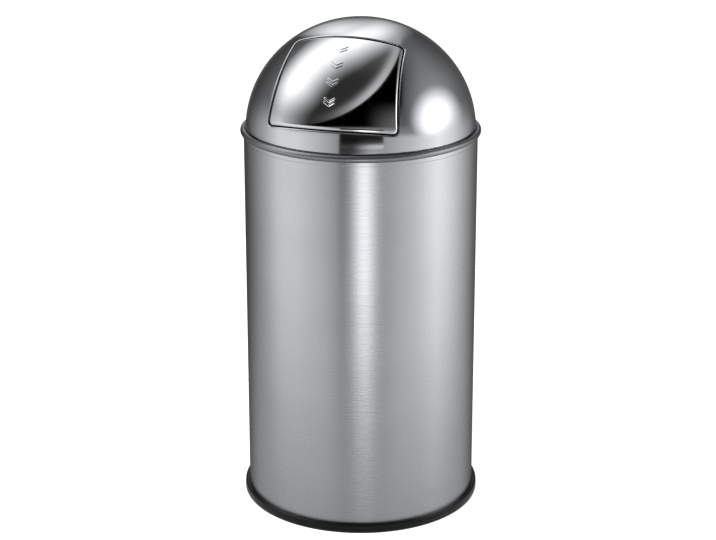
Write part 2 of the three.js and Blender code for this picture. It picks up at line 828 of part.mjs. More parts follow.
add('base_ring', baseRing(), 'blackRubber');
add('base_plate', basePlate(), 'zincedSteel');
rivetPlaces().forEach(([x, y], i) => {
  add(`base_rivet_${i + 1}`, baseRivet(), 'zincedSteel').position.set(x, y, 0);
});
add('drum_shell', drumShell(), 'satinSteel');

const lid = new THREE.Group();
lid.position.z = domeCentreHeight;
bin.add(lid);
add('lid_dome', lidDome(), 'satinSteel', lid);
add('lid_collar', lidCollar(), 'blackPlastic', lid);
add('hinge_pin', hingePin(), 'zincedSteel', lid);
add('push_flap', pushFlap(), 'polishedSteel', lid);

const sides = { left: -1, right: 1 };
for (const [name, side] of Object.entries(sides)) {
  add(`hinge_bracket_${name}`, hingeBracket(side), 'zincedSteel', lid);
  add(`hinge_clip_${name}`, hingeClip(side), 'springSteel', lid);
  add(`torsion_spring_${name}`, torsionSpring(side), 'springSteel', lid);
  add(`flap_ear_${name}`, flapEar(side), 'zincedSteel', lid);
  add(`flap_bumper_${name}`, bumper(side), 'blackRubber', lid);
}

add('bucket_wall', bucketWall(), 'zincedSteel');
add('bucket_base', bucketBase(), 'zincedSteel');
for (const [name, side] of Object.entries(sides)) {
  add(`bucket_ear_${name}`, bucketEar(side), 'zincedSteel');
  for (const [row, along] of [['front', -1], ['back', 1]]) {
    const rivet = add(`ear_rivet_${name}_${row}`, mirrored(earRivet().toNonIndexed(), side), 'zincedSteel');
    rivet.position.set(0, (along * earRivetSpacing) / 2, earRivetHeight);
  }
}

// The bail lies back, leaning on the bucket.
const bail = new THREE.Group();
bail.position.z = pivotHeight;
bail.rotation.x = -bailRestAngle;
bin.add(bail);
add('bail_wire', bailHoop(), 'zincedSteel', bail);
add('bail_grip', bailGrip(), 'blackPlastic', bail);

export default bin;
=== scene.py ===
import math

import bmesh
import bpy
import numpy as np
from mathutils import Matrix, Vector


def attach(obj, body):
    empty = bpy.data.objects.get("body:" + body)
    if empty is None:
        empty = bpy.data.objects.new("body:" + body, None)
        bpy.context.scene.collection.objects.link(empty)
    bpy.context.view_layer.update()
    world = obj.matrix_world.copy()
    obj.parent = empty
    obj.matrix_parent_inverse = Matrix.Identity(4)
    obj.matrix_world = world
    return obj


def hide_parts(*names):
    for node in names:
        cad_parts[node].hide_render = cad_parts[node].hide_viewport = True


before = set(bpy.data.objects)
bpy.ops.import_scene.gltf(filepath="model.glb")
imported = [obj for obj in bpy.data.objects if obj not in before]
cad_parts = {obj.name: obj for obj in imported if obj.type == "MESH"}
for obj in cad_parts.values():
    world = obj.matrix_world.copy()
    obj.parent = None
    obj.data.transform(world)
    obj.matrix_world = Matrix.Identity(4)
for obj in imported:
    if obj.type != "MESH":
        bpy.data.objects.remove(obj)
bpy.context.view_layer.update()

# A dome top waste receptacle: a satin steel drum on a black base ring, a domed lid with a mirror-polished
# push flap, and a galvanised bucket inside. Lengths are in millimetres and become metres in new_mesh.
# The origin is on the floor under the middle of the drum, +Z is up and the flap faces -Y.

MM = 0.001
scene = bpy.context.scene

# ---- Sizes ----

DRUM_RADIUS = 175
DRUM_BORE = 174.1
DRUM_FOOT = 3.9
DRUM_TOP = 573.7
HEM_RADIUS = 175.6
HEM_HEIGHT = 6
WELD_PROUD = 0.16
WELD_HALF_WIDTH = 1.1

RING_RADIUS = 182
RING_INNER = 159
RING_HEIGHT = 13
RING_GROOVE = 175.3
RING_FLOOR = 3.6
RIVET_CIRCLE = 165
RIVET_RECESS = 1.8
RIVET_RECESS_RADIUS = 5
RIVET_HOLE = 2.2
RIVET_PROFILE = (
    (0, 0.5), (2.6, 0.55), (3.6, 0.85), (4.1, 1.25), (4.2, 1.5), (1.9, 1.5),
    (1.9, 5.2), (3.2, 5.2), (3.1, 5.7), (2.4, 6.4), (1.2, 6.68), (0, 6.7),
)

PLATE_EDGE = 173.8
PLATE_SHEET = 1
PLATE_LOW = 3.9
PLATE_HIGH = 11.5
PLATE_RIM_IN = 152
PLATE_SLOPE_IN = 146
PLATE_FLANGE_TOP = 18.9

LID_RADIUS = 172
DOME_RISE = 166
DOME_CENTRE = 579
LID_SHEET = 1
LID_SKIRT = 5
BEAD_RADIUS = 4.7
BEAD_MIDDLE = 175.3
BEAD_FILLET = 0.9

FACE_ELEVATION = 41
APERTURE_TOP_HALF = 82
APERTURE_BOTTOM_HALF = 98
APERTURE_TOP = 70.4
APERTURE_BOTTOM = 68
APERTURE_SAG = 13
APERTURE_CORNER = 9
LIP_DEPTH = 6
LIP_FILLET = 2.4
SHEET_EDGE = 0.25

FLAP_GAP = 1.5
FLAP_INSET = 0.4
FLAP_SHEET = 1
FLAP_FLANGE = 9.8
FLAP_FILLET = 3
TAB_OFFSET = 50
TAB_WIDTH = 20
TAB_THICK = 1.2
TAB_REACH = 10

CHEVRON_UPS = (43.5, 14.5, -14.5, -43.5)
CHEVRON_HALF_WIDTH = 7
CHEVRON_DROP = 4.5
CHEVRON_PAIR = 5.4
CHEVRON_STROKE = 0.7
CHEVRON_SOFT = 1.1
CHEVRON_RELIEF = 0.7

COLLAR_LOW = 557
COLLAR_TOP = 585
COLLAR_LEDGE = 573.4
COLLAR_RING = 173.3
COLLAR_BAND = 170.2
COLLAR_SHEET = 1
COLLAR_LEAD_IN = 2.5

PIN_RADIUS = 2.5
PIN_HALF_LENGTH = 73
PIN_Y = -47.4626
PIN_Z = 699.7594

SPRING_WIRE = 0.6
SPRING_RADIUS = 5
SPRING_PITCH = 1.72
SPRING_CURLS = 6
SPRING_END = 67.3
SPRING_LEG_ACROSS = 22
SPRING_LEG_UP = 32
SPRING_FLAP_GAP = 0.84
SPRING_DOME_GAP = 1.2
SPRING_OVERLAP = 0.6

BUCKET_FOOT = 12.8
BUCKET_TOP = 530
BUCKET_RADIUS = 155.1
BUCKET_FOOT_RADIUS = 141.1
BUCKET_SHEET = 0.8
BUCKET_BEAD = 3
BUCKET_SEAM_PROUD = 0.5
BUCKET_SEAM_HALF_WIDTH = 4
BUCKET_BASE_TOP = 18.8
BUCKET_BASE_FLANGE = 5

BAIL_WIRE = 2.5
BAIL_RADIUS = 167.1
BAIL_END = 157.9
BAIL_BEND = 5
BAIL_PIVOT = 512
BAIL_REST_ANGLE = 18.0238
GRIP_RADIUS = 5.2
GRIP_BORE = 3.1
GRIP_HALF_ANGLE = 15.944
GRIP_GROOVES = 9
GRIP_GROOVE_DEPTH = 0.35

EAR_RIVET_ROW = 6
EAR_RIVET_HEIGHT = 489
EAR_RIVET_INNER = 152.17
EAR_RIVET_OUTER = 157.3
EAR_RIVET_HEAD = 3.2
EAR_RIVET_SHANK = 1.6
EAR_RIVET_THICK = 1.2

PRESSED_EDGE = 0.25
CLIP_EDGE = 0.12
BUMPER_EDGE = 0.4
EAR_EDGE = 0.3

ROUND = 192
FINE_ROUND = 256
SMALL_ROUND = 32
WIRE_ROUND = 16
BAIL_ROUND = 20
BAIL_STEPS = 160
GRIP_STEPS = 145
COIL_STEPS = 24
DOME_STEPS_OUTSIDE = 80
DOME_STEPS_INSIDE = 40
FLAP_ROW_STEP = 0.0031
FLAP_COLUMN_STEP = 0.0021
FLAP_MARKED_HALF = 0.055
ROUNDED_OVER = math.radians(28)
CUT_CREASE = math.radians(35)
DRESSED_CREASE = math.radians(40)


# ---- Meshes ----


def unit(vectors):
    return vectors / np.maximum(np.linalg.norm(vectors, axis=-1, keepdims=True), 1e-12)


def signed_volume(points, faces):
    """Six times the volume inside the faces, negative where they face inward."""
    fans = [(face[0], face[i], face[i + 1]) for face in faces for i in range(1, len(face) - 1)]
    first, second, third = points[np.array(fans)].swapaxes(0, 1)
    return np.sum(first * np.cross(second, third))


def area_normals(points, faces):
    """Vertex normals weighted by area, so that broad faces stay flat beside narrow rounded edges."""
    normals = np.zeros_like(points)
    for size in {len(face) for face in faces}:
        block = np.array([face for face in faces if len(face) == size])
        corners = points[block].swapaxes(0, 1)
        face_normals = np.cross(corners[-2] - corners[0], corners[-1] - corners[size - 3])
        for corner in range(size):
            np.add.at(normals, block[:, corner], face_normals)
    return unit(normals)


def new_mesh(points, faces, known_normals=None):
    """A smooth mesh from points in millimetres. known_normals maps vertex numbers to exact normals."""
    points = np.asarray(points, float)
    if signed_volume(points, faces) < 0:
        faces = [face[::-1] for face in faces]
    normals = area_normals(points, faces)
    if known_normals is not None:
        places, values = known_normals
        normals[places] = values
    mesh = bpy.data.meshes.new("mesh")
    mesh.from_pydata((points * MM).tolist(), [], faces)
    mesh.shade_smooth()
    mesh.normals_split_custom_set_from_vertices(normals.tolist())
    return mesh


def joined_loops(count, size, closed):
    """Quads between loops of points, each loop closed on itself, and the last joined to the first if closed."""
    faces = []
    for row in range(count if closed else count - 1):
        low, high = row * size, ((row + 1) % count) * size
        for i in range(size):
            k = (i + 1) % size
            faces.append((low + i, low + k, high + k, high + i))
    return faces


def grid_cells(rows, columns):
    """Quads of a grid of points."""
    return [
        (r * columns + c, r * columns + c + 1, (r + 1) * columns + c + 1, (r + 1) * columns + c)
        for r in range(rows - 1)
        for c in range(columns - 1)
    ]


def capped(loops, middles=None):
    """Loops stacked from one end to the other, with a fan round a middle point at each end."""
    if middles is None:
        middles = [np.mean(loops[0], axis=0), np.mean(loops[-1], axis=0)]
    count, size = len(loops), len(loops[0])
    faces = joined_loops(count, size, closed=False)
    first, last = count * size, count * size + 1
    for i in range(size):
        k = (i + 1) % size
        faces.append((first, k, i))
        faces.append((last, (count - 1) * size + i, (count - 1) * size + k))
    return np.concatenate([*loops, middles]), faces


def rounded(corners, steps=4):
    """A profile with its corners rounded. Each corner is (radius, height) or (radius, height, rounding)."""
    plain = np.array([corner[:2] for corner in corners], float)
    profile = []
    for i, corner in enumerate(corners):
        rounding = corner[2] if len(corner) > 2 else 0
        if not rounding:
            profile.append(plain[i])
            continue
        start = plain[i] + unit(plain[i - 1] - plain[i]) * rounding
        end = plain[i] + unit(plain[(i + 1) % len(plain)] - plain[i]) * rounding
        for share in np.linspace(0, 1, steps + 1):
            profile.append((1 - share) ** 2 * start + 2 * share * (1 - share) * plain[i] + share**2 * end)
    return np.array(profile)


def arc(middle, height, radius, start, end, steps):
    """Points of a round profile, with angles in degrees from the outward direction."""
    angles = np.radians(np.linspace(start, end, steps + 1))
    return [(middle + radius * math.cos(a), height + radius * math.sin(a)) for a in angles]


def round_angles(steps, dense_at=None, dense_half=0.0, dense_step=0.0):
    """Angles round the axis, with more of them beside a seam."""
    angles = np.linspace(0, 2 * math.pi, steps, endpoint=False)
    if dense_at is None:
        return angles
    offset = (angles - dense_at + math.pi) % (2 * math.pi) - math.pi
    seam = dense_at + np.arange(-dense_half, dense_half + dense_step / 2, dense_step)
    return np.sort(np.concatenate([angles[np.abs(offset) > dense_half + dense_step], seam % (2 * math.pi)]))


def rings(profile, angles, proud=0.0):
    """A loop about Z for each radius and height of a profile. proud is a radial step for each angle."""
    across, along = np.cos(angles), np.sin(angles)
    return [
        np.stack([(r + proud) * across, (r + proud) * along, np.full(len(angles), z)], axis=1)
        for r, z in profile
    ]


def turned(profile, angles=None, proud=0.0):
    """A ring turned about Z from a closed profile."""
    angles = round_angles(ROUND) if angles is None else angles
    loops = rings(profile, angles, proud)
    return new_mesh(np.concatenate(loops), joined_loops(len(loops), len(angles), closed=True))


def turned_disc(profile, steps=ROUND):
    """A solid of revolution about Z whose profile starts and ends on the axis."""
    middles = [(0, 0, profile[0][1]), (0, 0, profile[-1][1])]
    return new_mesh(*capped(rings(profile[1:-1], round_angles(steps)), middles))


def moved(mesh, x, y, z, turn=0.0):
    """A mesh turned about Y and then put at a place in millimetres."""
    mesh.transform(Matrix.Translation((x * MM, y * MM, z * MM)) @ Matrix.Rotation(turn, 4, "Y"))
    return mesh


def path_frames(path):
    """Two directions square to a path at each of its points, carried along without twist."""
    tangents = unit(np.gradient(path, axis=0))
    start = np.cross(tangents[0], [0.0, 0.0, 1.0])
    if np.linalg.norm(start) < 0.1:
        start = np.cross(tangents[0], [0.0, 1.0, 0.0])
    sides = [unit(start)]
    for tangent in tangents:
        sides.append(unit(sides[-1] - tangent * np.dot(sides[-1], tangent)))
    sides = np.array(sides[1:])
    return sides, np.cross(tangents, sides)


def loops_along(path, radii, steps):
    """A loop of points round each point of a path."""
    sides, ups = path_frames(path)
    angles = np.linspace(0, 2 * math.pi, steps, endpoint=False)
    return [
        point + radius * (np.outer(np.cos(angles), side) + np.outer(np.sin(angles), up))
        for point, radius, side, up in zip(path, radii, sides, ups)
    ]


def wire(path, radius, steps=WIRE_ROUND):
    """A round wire along a path, its ends slightly rounded over."""
    chamfer = radius * 0.3
    first, last = path[0] + unit(path[1] - path[0]) * chamfer, path[-1] + unit(path[-2] - path[-1]) * chamfer
    full = np.array([path[0], first, *path[1:-1], last, path[-1]])
    radii = np.full(len(full), radius)
    radii[[0, -1]] = radius - chamfer
    return new_mesh(*capped(loops_along(full, radii, steps)))


def put_in_scene(name, data):
    made = bpy.data.objects.new(name, data)
    scene.collection.objects.link(made)
    return made


def piece(name, mesh, body, material, node=None):
    """Puts a mesh in the scene as a piece that rides on a body and stands for a node, with the material in its
    slot. Unless it is given, the node has the piece's name."""
    mesh.name = name
    mesh.materials.append(material)
    made = put_in_scene(name, mesh)
    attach(made, body)
    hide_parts(node or name)
    return made


def dressed(node, rounding):
    """A node's own solid with its flat faces made whole and its edges rounded over."""
    work = bmesh.new()
    work.from_mesh(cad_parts[node].data)
    bmesh.ops.remove_doubles(work, verts=work.verts, dist=2e-6)
    bmesh.ops.dissolve_limit(work, angle_limit=math.radians(1), verts=work.verts, edges=work.edges)
    sharp = [e for e in work.edges if len(e.link_faces) == 2 and e.calc_face_angle() > ROUNDED_OVER]
    bmesh.ops.bevel(
        work, geom=sharp, offset=rounding * MM, segments=3, profile=0.5, affect="EDGES", clamp_overlap=True
    )
    bmesh.ops.recalc_face_normals(work, faces=work.faces)
    mesh = bpy.data.meshes.new("mesh")
    work.to_mesh(mesh)
    work.free()
    mesh.shade_smooth()
    mesh.set_sharp_from_angle(angle=DRESSED_CREASE)
    return mesh


def cut(target, cutter_mesh):
    """Cuts a mesh out of a piece for good."""
    cutter = put_in_scene("cutter", cutter_mesh)
    modifier = target.modifiers.new("cut", "BOOLEAN")
    modifier.object = cutter
    modifier.operation = "DIFFERENCE"
    modifier.solver = "EXACT"
    depsgraph = bpy.context.evaluated_depsgraph_get()
    result = bpy.data.meshes.new_from_object(target.evaluated_get(depsgraph))
    target.modifiers.clear()
    target.data = result
    result.shade_smooth()
    result.set_sharp_from_angle(angle=CUT_CREASE)
    bpy.data.objects.remove(cutter)


# ---- The lid's surface and the aperture's outline ----

FACE_TURN = math.radians(90 - FACE_ELEVATION)


def from_face(across, up, out):
    """Points given across, up and out of the aperture, in the frame of the whole bin."""
    y = up * math.cos(FACE_TURN) - out * math.sin(FACE_TURN)
    z = up * math.sin(FACE_TURN) + out * math.cos(FACE_TURN) + DOME_CENTRE
    return np.stack(np.broadcast_arrays(across, y, z), axis=-1)


def surface_out(across, up, depth):
    """How far out the dome's surface lies, at a depth under it."""
    turn = math.radians(FACE_ELEVATION)
    radius, rise = LID_RADIUS - depth, DOME_RISE - depth
    back, high = up * math.sin(turn), up * math.cos(turn)
    a = (math.cos(turn) / radius) ** 2 + (math.sin(turn) / rise) ** 2
    b = -back * math.cos(turn) / radius**2 + high * math.sin(turn) / rise**2
    c = (across**2 + back**2) / radius**2 + (high / rise) ** 2 - 1
    return (-b + np.sqrt(b * b - a * c)) / a


def on_dome(flat, depth):
    """Points across and up, put on the surface at a depth under the dome's."""
    return from_face(flat[:, 0], flat[:, 1], surface_out(flat[:, 0], flat[:, 1], depth))


def half_sizes(depth):
    """The dome's half sizes, at a depth under its surface."""
    return np.array([LID_RADIUS - depth, LID_RADIUS - depth, DOME_RISE - depth], float)


def dome_normals(points, depth=0.0):
    """Outward directions of the dome's surface."""
    return unit((points - [0, 0, DOME_CENTRE]) / half_sizes(depth) ** 2)


def outline(places, margin):
    """Points of the aperture's outline, grown by a margin. The whole part of a place is its stretch:
    left, lower left corner, bottom, lower right corner, right, upper right corner, top, upper left corner."""
    low = -APERTURE_BOTTOM - margin
    top_left = np.array([-APERTURE_TOP_HALF - margin, APERTURE_TOP + margin])
    bottom_left = np.array([-APERTURE_BOTTOM_HALF - margin, low])
    bottom_right, top_right = bottom_left * [-1, 1], top_left * [-1, 1]
    bow = np.array([0, low - 2 * APERTURE_SAG])
    rounding = APERTURE_CORNER + margin

    sides = (
        (top_left, bottom_left), (bottom_left, top_left), (bottom_left, bow), (bottom_right, bow),
        (bottom_right, top_right), (top_right, bottom_right), (top_right, top_left), (top_left, top_right),
    )
    knots = [start + unit(end - start) * rounding for start, end in sides]
    pulls = [None, bottom_left, bow, bottom_right, None, top_right, None, top_left]
    places = np.asarray(places) % 8
    result = np.zeros((len(places), 2))
    for i, pull in enumerate(pulls):
        start, end = knots[i], knots[(i + 1) % 8]
        pull = (start + end) / 2 if pull is None else pull
        chosen = np.floor(places).astype(int) == i
        share = (places[chosen] - i)[:, None]
        result[chosen] = (1 - share) ** 2 * start + 2 * share * (1 - share) * pull + share**2 * end
    return result


def folded_over(first, corner, last, steps):
    """Loops that turn over an edge, from one loop to another with the sharp edge's loop between them."""
    shares = np.linspace(0, 1, steps + 1)
    return [(1 - s) ** 2 * first + 2 * s * (1 - s) * corner + s**2 * last for s in shares]


# ---- Lid ----


def lid_places():
    """Places round the outline, closer at its corners and where the dome behind it is wide."""
    fine = np.linspace(0, 8, 6400, endpoint=False)
    flat = outline(fine, 0)
    steps = np.roll(flat, -1, axis=0) - flat
    lengths = np.linalg.norm(steps, axis=1)
    headings = np.unwrap(np.arctan2(steps[:, 1], steps[:, 0]))
    turns = np.abs(np.diff(headings, append=headings[0] + 2 * math.pi * np.sign(headings[-1] - headings[0])))
    azimuths = np.unwrap(skirt_azimuths(on_dome(flat, 0)))
    swings = np.abs(np.diff(azimuths, append=azimuths[-1]))
    weight = lengths / 4 + turns * 12 + swings * 28
    shares = np.concatenate([[0], np.cumsum(weight)])
    count = int(shares[-1])
    return np.interp(np.linspace(0, shares[-1], count, endpoint=False), shares, np.append(fine, 8))


def on_ball(points, depth):
    """Points of the dome, taken to a ball of radius 1."""
    return unit((points - [0, 0, DOME_CENTRE]) / half_sizes(depth))


def skirt_azimuths(points):
    """The azimuth at the dome's foot below each point, going straight away from the aperture's middle."""
    middle = on_ball(on_dome(np.zeros((1, 2)), 0), 0)[0]
    around = on_ball(points, 0)
    away = around - np.outer(around @ middle, middle)
    foot = np.cross(np.cross(np.broadcast_to(middle, away.shape), around), [0, 0, 1])
    foot *= np.sign(np.sum(foot * away, axis=1, keepdims=True))
    return np.arctan2(foot[:, 1], foot[:, 0])


def dome_rings(loop, azimuths, depth, count):
    """Loops over the dome, from a loop round the aperture to the dome's foot, without the first."""
    start = on_ball(loop, depth)
    foot = np.stack([np.cos(azimuths), np.sin(azimuths), np.zeros(len(azimuths))], axis=1)
    angle = np.arccos(np.clip(np.sum(start * foot, axis=1), -1, 1))[:, None]
    blends = [
        (np.sin((1 - share) * angle) * start + np.sin(share * angle) * foot) / np.sin(angle)
        for share in np.linspace(0, 1, count + 1)[1:]
    ]
    return [blend * half_sizes(depth) + [0, 0, DOME_CENTRE] for blend in blends]


def lid_dome_mesh():
    places = lid_places()
    azimuths = skirt_azimuths(on_dome(outline(places, 0), 0))

    def wall(margin, depth):
        return on_dome(outline(places, margin), depth)

    fold = LIP_FILLET
    inner = LID_SHEET
    lip = [wall(inner * 0.75, LIP_DEPTH), wall(inner * 0.25, LIP_DEPTH), wall(0, LIP_DEPTH - SHEET_EDGE)]
    outer_wall = [wall(0, 4.2)]
    outer_fold = folded_over(wall(0, fold), wall(0, 0), wall(fold, 0), 8)
    outside = dome_rings(outer_fold[-1], azimuths, 0, DOME_STEPS_OUTSIDE)
    bead_meets = math.degrees(math.acos((LID_RADIUS - BEAD_MIDDLE) / BEAD_RADIUS))
    bead = [
        (LID_RADIUS, 6.2),
        *rounded([(LID_RADIUS, 9), (LID_RADIUS, BEAD_RADIUS * 0.62, BEAD_FILLET), (BEAD_MIDDLE, 4.4)])[1:-1],
        *arc(BEAD_MIDDLE, BEAD_RADIUS - LID_SKIRT, BEAD_RADIUS, bead_meets * 0.86, -84, 20),
        (LID_RADIUS - 0.2, -LID_SKIRT), (LID_RADIUS - inner, 0.4 - LID_SKIRT), (LID_RADIUS - inner, -1.5),
    ]
    inside_start = wall(inner + fold, inner)
    inside = dome_rings(inside_start, azimuths, inner, DOME_STEPS_INSIDE)
    inner_fold = folded_over(inside_start, wall(inner, inner), wall(inner, inner + fold), 5)
    loops = [
        *lip,
        *outer_wall,
        *outer_fold,
        *outside,
        *rings([(r, DOME_CENTRE + z) for r, z in bead], azimuths),
        *inside[::-1],
        *inner_fold,
        wall(inner, LIP_DEPTH - SHEET_EDGE),
    ]
    points = np.concatenate(loops)
    size = len(places)
    first_out = (len(lip) + len(outer_wall) + len(outer_fold) - 1) * size
    known = np.arange(first_out, first_out + (len(outside) + 1) * size)
    return new_mesh(points, joined_loops(len(loops), size, closed=True), (known, dome_normals(points[known])))


def lid_collar_mesh():
    ring, band, sheet, lead = COLLAR_RING, COLLAR_BAND, COLLAR_SHEET, COLLAR_LEAD_IN
    profile = rounded([
        (ring - sheet - lead / 2, COLLAR_LOW, 0.3), (ring - lead / 2, COLLAR_LOW, 0.3),
        (ring, COLLAR_LOW + lead, 0.8), (ring, COLLAR_LEDGE, 0.2), (band, COLLAR_LEDGE, 0.3),
        (band, COLLAR_TOP, 0.35), (band - sheet, COLLAR_TOP, 0.35),
        (band - sheet, COLLAR_LEDGE - sheet, 0.5), (ring - sheet, COLLAR_LEDGE - sheet, 0.3),
        (ring - sheet, COLLAR_LOW + lead, 0.8),
    ])
    return turned(profile)


# ---- Push flap ----


def spaced(spacing):
    """Shares from 0 to 1, set closer where spacing is smaller, by the distance from the middle."""
    fine = np.linspace(-0.5, 0.5, 4000)
    weight = 1 / spacing(np.abs(fine))
    total = np.concatenate([[0], np.cumsum((weight[1:] + weight[:-1]) / 2 * np.diff(fine))])
    count = int(math.ceil(total[-1]))
    return np.interp(np.linspace(0, total[-1], count + 1), total, fine) + 0.5


def side_places(start, end, shares, margin):
    """Places at given shares of the length of the outline between two places."""
    fine = np.linspace(start, end, 4000)
    lengths = np.linalg.norm(np.diff(outline(fine, margin), axis=0), axis=1)
    total = np.concatenate([[0], np.cumsum(lengths)])
    return np.interp(np.asarray(shares) * total[-1], total, fine)


def chevron_height(flat):
    """The relief of four plain marks down the middle of the flap, each a pair of shallow Vs."""
    height = np.zeros(len(flat))
    arm = np.array([CHEVRON_HALF_WIDTH, CHEVRON_DROP])
    for low in [up - (CHEVRON_DROP + side * CHEVRON_PAIR) / 2 for up in CHEVRON_UPS for side in (-1, 1)]:
        local = np.stack([np.abs(flat[:, 0]), flat[:, 1] - low], axis=1)
        share = np.clip(local @ arm / (arm @ arm), 0, 1)
        away = np.linalg.norm(local - share[:, None] * arm, axis=1)
        edge = np.clip((CHEVRON_STROKE + CHEVRON_SOFT - away) / CHEVRON_SOFT, 0, 1)
        height = np.maximum(height, edge * edge * (3 - 2 * edge) * CHEVRON_RELIEF)
    return height


def flap_patch(columns, rows, margin):
    """A grid of flat points that fills the outline, with its edges on the outline."""
    bottom = outline(side_places(1.5, 3.5, columns, margin), margin)
    top = outline(side_places(7.5, 5.5, columns, margin), margin)
    left = outline(side_places(1.5, -0.5, rows, margin), margin)
    right = outline(side_places(3.5, 5.5, rows, margin), margin)
    u, v = columns[None, :, None], rows[:, None, None]
    corners = (
        (1 - u) * (1 - v) * bottom[0] + u * (1 - v) * bottom[-1] + (1 - u) * v * top[0] + u * v * top[-1]
    )
    return (1 - v) * bottom + v * top + (1 - u) * left[:, None] + u * right[:, None] - corners


def rim_order(rows, columns):
    """The numbers of a grid's edge points, once round."""
    first = list(range(columns))
    right = [row * columns + columns - 1 for row in range(1, rows)]
    last = [(rows - 1) * columns + i for i in range(columns - 2, -1, -1)]
    left = [row * columns for row in range(rows - 2, 0, -1)]
    return np.array(first + right + last + left)


def push_flap_mesh():
    outside_margin = -FLAP_GAP - FLAP_FILLET
    columns = spaced(lambda x: np.where(x < FLAP_MARKED_HALF, FLAP_COLUMN_STEP, 0.006 + 0.022 * (0.5 - x)))
    rows = spaced(lambda x: np.full(len(x), FLAP_ROW_STEP))
    grid = flap_patch(columns, rows, outside_margin)
    row_count, column_count = grid.shape[:2]
    flat = grid.reshape(-1, 2)
    base = on_dome(flat, FLAP_INSET)
    normals = dome_normals(base, FLAP_INSET)
    outer = base + normals * chevron_height(flat)[:, None]
    inner = on_dome(flat, FLAP_INSET + FLAP_SHEET)
    rim = rim_order(row_count, column_count)
    places = np.concatenate(
        [
            side_places(1.5, 3.5, columns, outside_margin),
            side_places(3.5, 5.5, rows, outside_margin)[1:],
            side_places(5.5, 7.5, 1 - columns[::-1], outside_margin)[1:],
            side_places(7.5, 9.5, 1 - rows[::-1], outside_margin)[1:-1],
        ]
    )

    def wall(margin, depth):
        return on_dome(outline(places, margin), FLAP_INSET + depth)

    gap, sheet = -FLAP_GAP, FLAP_SHEET
    fold = FLAP_FILLET
    loops = [
        *folded_over(outer[rim], wall(gap, 0), wall(gap, fold), 9)[1:],
        wall(gap, 6),
        wall(gap, FLAP_FLANGE - SHEET_EDGE),
        wall(gap - SHEET_EDGE, FLAP_FLANGE),
        wall(gap - sheet + SHEET_EDGE, FLAP_FLANGE),
        wall(gap - sheet, FLAP_FLANGE - SHEET_EDGE),
        wall(gap - sheet, 6),
        *folded_over(wall(gap - sheet, fold + 0.4), wall(gap - sheet, sheet), inner[rim], 5)[:-1],
    ]
    size = len(rim)
    points = np.concatenate([outer, inner, *loops])
    count = row_count * column_count
    cells = grid_cells(row_count, column_count)
    faces = cells + [tuple(count + i for i in face[::-1]) for face in cells]
    chain = [rim, *[2 * count + row * size + np.arange(size) for row in range(len(loops))], count + rim]
    for low, high in zip(chain[:-1], chain[1:]):
        for i in range(size):
            k = (i + 1) % size
            faces.append((int(low[k]), int(low[i]), int(high[i]), int(high[k])))
    return new_mesh(points, faces, (np.arange(count), marked_normals(flat, normals)))


def marked_normals(flat, normals):
    """The flap's normals, tilted where the marks rise."""
    step = 0.05
    slope_across = chevron_height(flat + [step, 0]) - chevron_height(flat - [step, 0])
    slope_up = chevron_height(flat + [0, step]) - chevron_height(flat - [0, step])
    across = from_face(1.0, 0.0, 0.0) - from_face(0.0, 0.0, 0.0)
    up = from_face(0.0, 1.0, 0.0) - from_face(0.0, 0.0, 0.0)
    return unit(normals - np.outer(slope_across / (2 * step), across) - np.outer(slope_up / (2 * step), up))


def aperture_edge(across):
    return -APERTURE_BOTTOM - APERTURE_SAG * (1 - (across / APERTURE_BOTTOM_HALF) ** 2)


def stop_tab_mesh(side):
    """A tongue of sheet from the flap's turned edge to behind the dome, curved as the dome is."""
    edge = aperture_edge(TAB_OFFSET)
    low, high = edge - TAB_REACH, edge + FLAP_GAP + FLAP_SHEET - 0.3
    deep = FLAP_INSET + FLAP_FLANGE
    half, corner = TAB_WIDTH / 2, 3.0
    angles = np.radians(np.linspace(0, 90, 7))
    right = [(half - corner + corner * math.sin(a), low + corner - corner * math.cos(a)) for a in angles]
    flat = np.array([*right, (half, high), (-half, high), *[(-x, y) for x, y in right[::-1]]])
    middle = flat.mean(axis=0)
    loops = []
    for inset, depth in ((0.2, deep - TAB_THICK), (0, deep - TAB_THICK + 0.2), (0, deep - 0.2), (0.2, deep)):
        shrunk = flat - unit(flat - middle) * inset
        loops.append(on_dome(shrunk + [side * TAB_OFFSET, 0], depth))
    return new_mesh(*capped(loops))


# ---- Hinge springs ----


